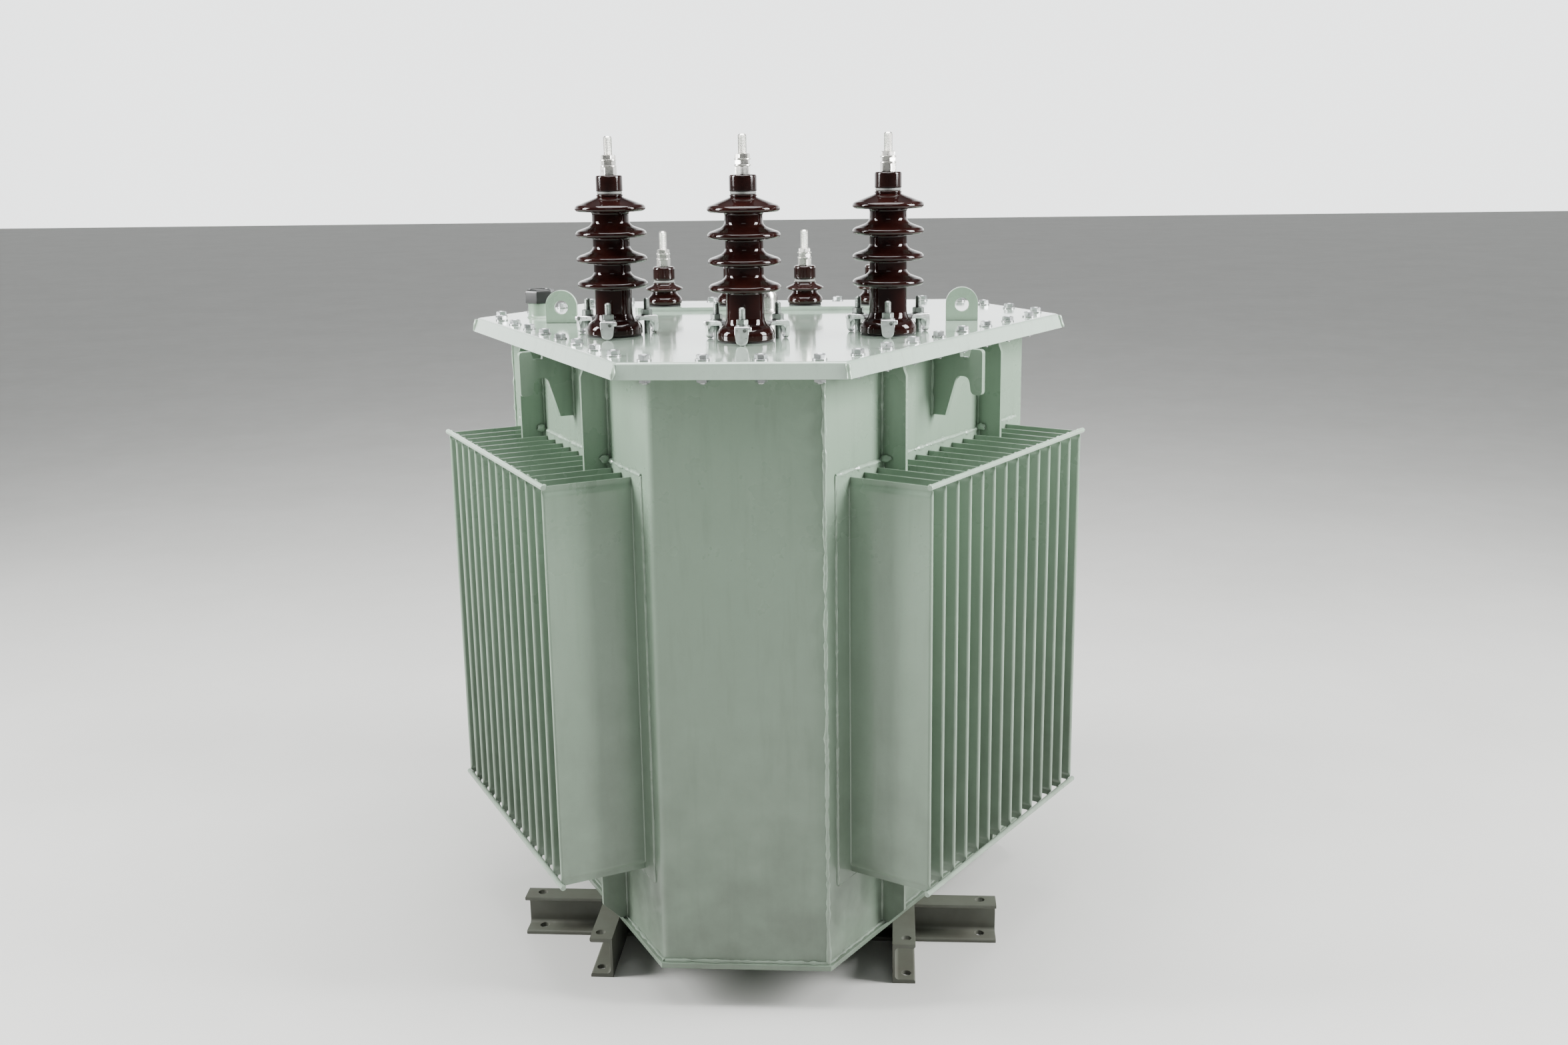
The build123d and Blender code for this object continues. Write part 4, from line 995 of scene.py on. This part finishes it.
def make_clamps():
    """Three clamps on each high-voltage bushing, each with its stud, washer and nut."""
    clamps = Pile()
    fasteners = Pile()
    form = clamp_form()
    bushings = [axis_of(f"hv_porcelain_{name}") for name in HV_NAMES]
    for pair in solids("hv_clamp_studs"):
        height = pair[1].z - pair[0].z
        foot = foot_of(pair)
        flat = Vector((*foot.xy, 0))
        hub = min(bushings, key=lambda place: (place - flat).length)
        away = flat - hub
        heading = atan2(away.y, away.x)
        if height > 50 * MM:
            place = Matrix.Translation(hub + Vector((0, 0, cover_top))) @ Matrix.Rotation(heading, 4, "Z")
            clamps.add(form, place)
            fasteners.at(threaded(5.8 * MM, M12_PITCH, 0, height, 20), foot)
        elif height > 5 * MM:
            spin = Matrix.Rotation(heading * 3.1, 4, "Z")
            nut_form = hex_part(M12_ACROSS, height, bore=5.2 * MM)
            fasteners.add(nut_form, Matrix.Translation(foot) @ spin)
        else:
            fasteners.at(washer(11 * MM, 6 * MM, height), foot)
    clamps.stand_in("hv_clamps", "cast", cast_aluminium, "cast_aluminium", sharp=60)
    fasteners.stand_in("hv_clamp_studs", "threaded", dull_zinc, "zinc_plate")


# ---------------- fittings on the cover
def make_filler():
    """A welded neck, its gasket and a moulded hex cap with a sunk crown."""
    neck_low, neck_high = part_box("filler_neck")
    place = axis_of("filler_neck")
    height = (neck_high.z - cover_top) / MM
    outline = [(16.9, -14, 0), (20, -14, 1), (20, -1, 0), (29.5, -0.2, 1.5), (27, 2.4, 2), (25, 5, 1.5)]
    outline += [(25, height - 1.2, 0.5), (24, height, 0.5), (19.5, height, 0.4), (16.9, height - 2, 1)]
    neck = Pile().at(turn(outline), place + Vector((0, 0, cover_top)))
    neck.stand_in("filler_neck", "welded", tank_enamel, "tank_paint")
    seal = [(17, 0, 0), (24.4, 0, 0.6), (24.4, 3, 0.6), (17, 3, 0)]
    gasket = Pile().at(turn(seal), place + Vector((0, 0, neck_high.z)))
    gasket.stand_in("filler_gasket", "flat", black_rubber, "gasket_rubber", "filler_seal")

    cap_low, cap_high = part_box("filler_cap")
    across = min(cap_high.x - cap_low.x, cap_high.y - cap_low.y)
    tall = cap_high.z - cap_low.z
    inner_r = 25.4 * MM
    count = BOLT_SIDES * 2
    skin = []
    levels = ((0, 0.94), (0.8 * MM, 0.985), (2.2 * MM, 1.0), (tall - 6 * MM, 0.985), (tall - 3 * MM, 0.955))
    levels += ((tall - 1.0 * MM, 0.90), (tall, 0.82))
    for z, share in levels:
        angles = [2 * pi * k / count for k in range(count)]
        skin.append([polar(hex_radius(across, angle, 1.145) * share, angle, z) for angle in angles])
    crown = [circle(across * 0.39, tall, count), circle(across * 0.375, tall - 1.6 * MM, count)]
    crown.append(circle(across * 0.10, tall - 1.8 * MM, count))
    hollow_top = neck_high.z + 3 * MM - cap_low.z
    hollow = [(inner_r - 3 * MM, hollow_top), (inner_r, hollow_top), (inner_r, 0.0)]
    hollow = [circle(radius, z, count) for radius, z in hollow]
    cap = Pile().at(loft(hollow + skin + crown), place + Vector((0, 0, cap_low.z)))
    cap.stand_in("filler_cap", "moulded", black_plastic, "black_plastic", "filler_cap_body", 30)


def make_relief_valve():
    """A spun hood with a rolled lip over its seat, and the stem and collar that hang from it."""
    low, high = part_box("relief_valve_cap")
    place = axis_of("relief_valve_cap")
    top = (high.z - cover_top) / MM
    outline = [(0.3, 12, 0), (23, 12, 0.5), (23, 22, 0), (24.5, 22, 0), (24.5, 6, 0.4), (25.2, 4.5, 0.6)]
    outline += [(27, 4.5, 0.8), (27, 9, 0.6), (26.4, 10, 0.6), (26.6, 11.5, 0.6), (26.6, top - 17, 6)]
    outline += [(22.5, top - 4.5, 9), (9, top, 8), (0.3, top, 0)]
    hood = Pile().at(turn(outline, 80, closed=False), place + Vector((0, 0, cover_top)))
    foot, inside = low.z / MM, cover_top / MM + 12.5
    stem = [(0.3, foot, 0), (11, foot, 0.6), (11, foot + 3.7, 0.6), (4, foot + 3.7, 0.4)]
    stem += [(4, inside, 0), (0.3, inside, 0)]
    hood.at(turn(stem, 32, closed=False), place)
    hood.stand_in("relief_valve_cap", "spun", satin_steel, "valve_steel", "relief_cap", 45)


# ---------------- camera, light and floor
def make_camera():
    """The photograph's view of the object, as fitted to its corners and edges."""
    yaw, pitch, roll = radians(-4.006), radians(13.439), radians(-0.837)
    forward = Vector((sin(yaw) * cos(pitch), cos(yaw) * cos(pitch), -sin(pitch)))
    level = Vector((cos(yaw), -sin(yaw), 0))
    above = level.cross(forward)
    right = level * cos(roll) + above * sin(roll)
    up = above * cos(roll) - level * sin(roll)
    data = bpy.data.cameras.new("camera")
    data.sensor_width = 36.0
    data.lens = 36.48
    camera = linked("camera", data)
    camera.matrix_world = Matrix((
        (right.x, up.x, -forward.x, 0.2623),
        (right.y, up.y, -forward.y, -3.1320),
        (right.z, up.z, -forward.z, 1.5363),
        (0, 0, 0, 1),
    ))
    bpy.context.scene.camera = camera


def make_area_light(name, place, target, size, power):
    data = bpy.data.lights.new(name, "AREA")
    data.shape = "RECTANGLE"
    data.size, data.size_y = size
    data.energy = power
    light = linked(name, data)
    light.location = place
    light.rotation_euler = (Vector(target) - Vector(place)).to_track_quat("-Z", "Y").to_euler()


def make_stage():
    """A pale floor, the studio round it and its four soft lights."""
    half = 30.0
    corners = [(-half, -half, 0), (half, -half, 0), (half, half, 0), (-half, half, 0)]
    mesh = mesh_of("floor", (corners, [(0, 1, 2, 3)]))
    look = Look("pale_floor")
    colour = look.mix(look.cloud(1.5, 4), (0.56, 0.56, 0.54), (0.60, 0.60, 0.58))
    mesh.materials.append(look.done(colour, look.cloud(8, 3, 0.55, 0.7)))
    floor = linked("floor", mesh)
    make_world()
    make_area_light("overhead", (0.0, -0.2, 4.0), (0, -0.1, 1.0), (2.6, 2.2), 190)
    make_area_light("left_strip", (-3.8, -0.7, 2.7), (0, 0, 1.4), (1.2, 2.6), 440)
    make_area_light("right_strip", (3.8, -0.6, 2.7), (0, 0, 1.4), (1.4, 2.6), 480)
    make_area_light("front_fill", (0.4, -5.5, 3.0), (0, 0, 1.2), (2.4, 1.2), 14)


def make_world():
    """A dim studio, lighter overhead and bright low on its far side, pale where the camera sees it."""
    world = bpy.data.worlds.new("studio")
    world.use_nodes = True
    tree = world.node_tree
    background = tree.nodes["Background"]
    background.inputs["Color"].default_value = (0.94, 0.96, 0.96, 1.0)
    split = tree.nodes.new("ShaderNodeSeparateXYZ")
    tree.links.new(tree.nodes.new("ShaderNodeTexCoord").outputs["Generated"], split.inputs["Vector"])

    def fade(axis, low, high, start, end):
        made = tree.nodes.new("ShaderNodeMapRange")
        for name, value in (("From Min", low), ("From Max", high), ("To Min", start), ("To Max", end)):
            made.inputs[name].default_value = value
        tree.links.new(split.outputs[axis], made.inputs["Value"])
        return made.outputs["Result"]

    def combine(operation, first, second):
        made = tree.nodes.new("ShaderNodeMath")
        made.operation = operation
        tree.links.new(first, made.inputs[0])
        if isinstance(second, float):
            made.inputs[1].default_value = second
        else:
            tree.links.new(second, made.inputs[1])
        return made.outputs["Value"]

    band = combine("MULTIPLY", fade("Y", 0.15, 0.90, 0.0, 3.0), fade("Z", 0.15, 0.45, 1.0, 0.0))
    above = combine("ADD", fade("Z", 0.45, 0.95, 0.0, 0.55), 0.06)
    lit = combine("ADD", band, above)
    shown = combine("MULTIPLY", tree.nodes.new("ShaderNodeLightPath").outputs["Is Camera Ray"], 1.1)
    tree.links.new(combine("MAXIMUM", lit, shown), background.inputs["Strength"])
    bpy.context.scene.world = world


make_camera()
make_stage()

for node in ("tank_sheet_front", "tank_sheet_left", "tank_sheet_right", "tank_flange"):
    paint(node, tank_enamel)
for node in ("base_channel_left", "base_channel_right", "cross_channel_front", "cross_channel_rear"):
    eased(node, shaded_base_enamel, 0.9)
eased("tank_floor_plate", tank_enamel, 1.2)
eased("wall_ribs", tank_enamel, 0.8)
eased("lifting_eyes", tank_enamel, 1.5)
eased("lv_mounting_plate", lit_cover_enamel, 0.9)
eased("cover_gasket", black_rubber, 0.6)
make_cover()
make_tank_welds()
make_fin_banks()
make_tie_rods()
make_hooks()
make_wall_welds()
make_cover_bolts()
make_bushings()
make_terminals("hv")
make_terminals("lv")
make_clamps()
make_filler()
make_relief_valve()
eased("relief_valve_body", satin_steel, 0.4)
eased("tap_changer_handle", black_plastic, 1.2, body="tap_handle")
eased("drain_valve_body", brass, 0.8)
eased("rating_plate", plate_metal, 0.3)
eased("earth_terminal", zinc, 0.5)

painted = {
    "relief_valve_spring": spring_wire, "tap_changer_body": resin, "drain_valve_wheel": wheel_red,
    "core_ring_right": core_lines, "core_ring_rear": core_lines, "core_ring_left": core_lines,
    "core_clamp_frames": black_paint, "core_tie_rods": zinc, "lv_windings": turns_lines,
    "hv_windings": turns_lines, "winding_barriers": pressboard, "hv_leads": copper, "lv_leads": copper,
}
for node, look in painted.items():
    paint(node, look)
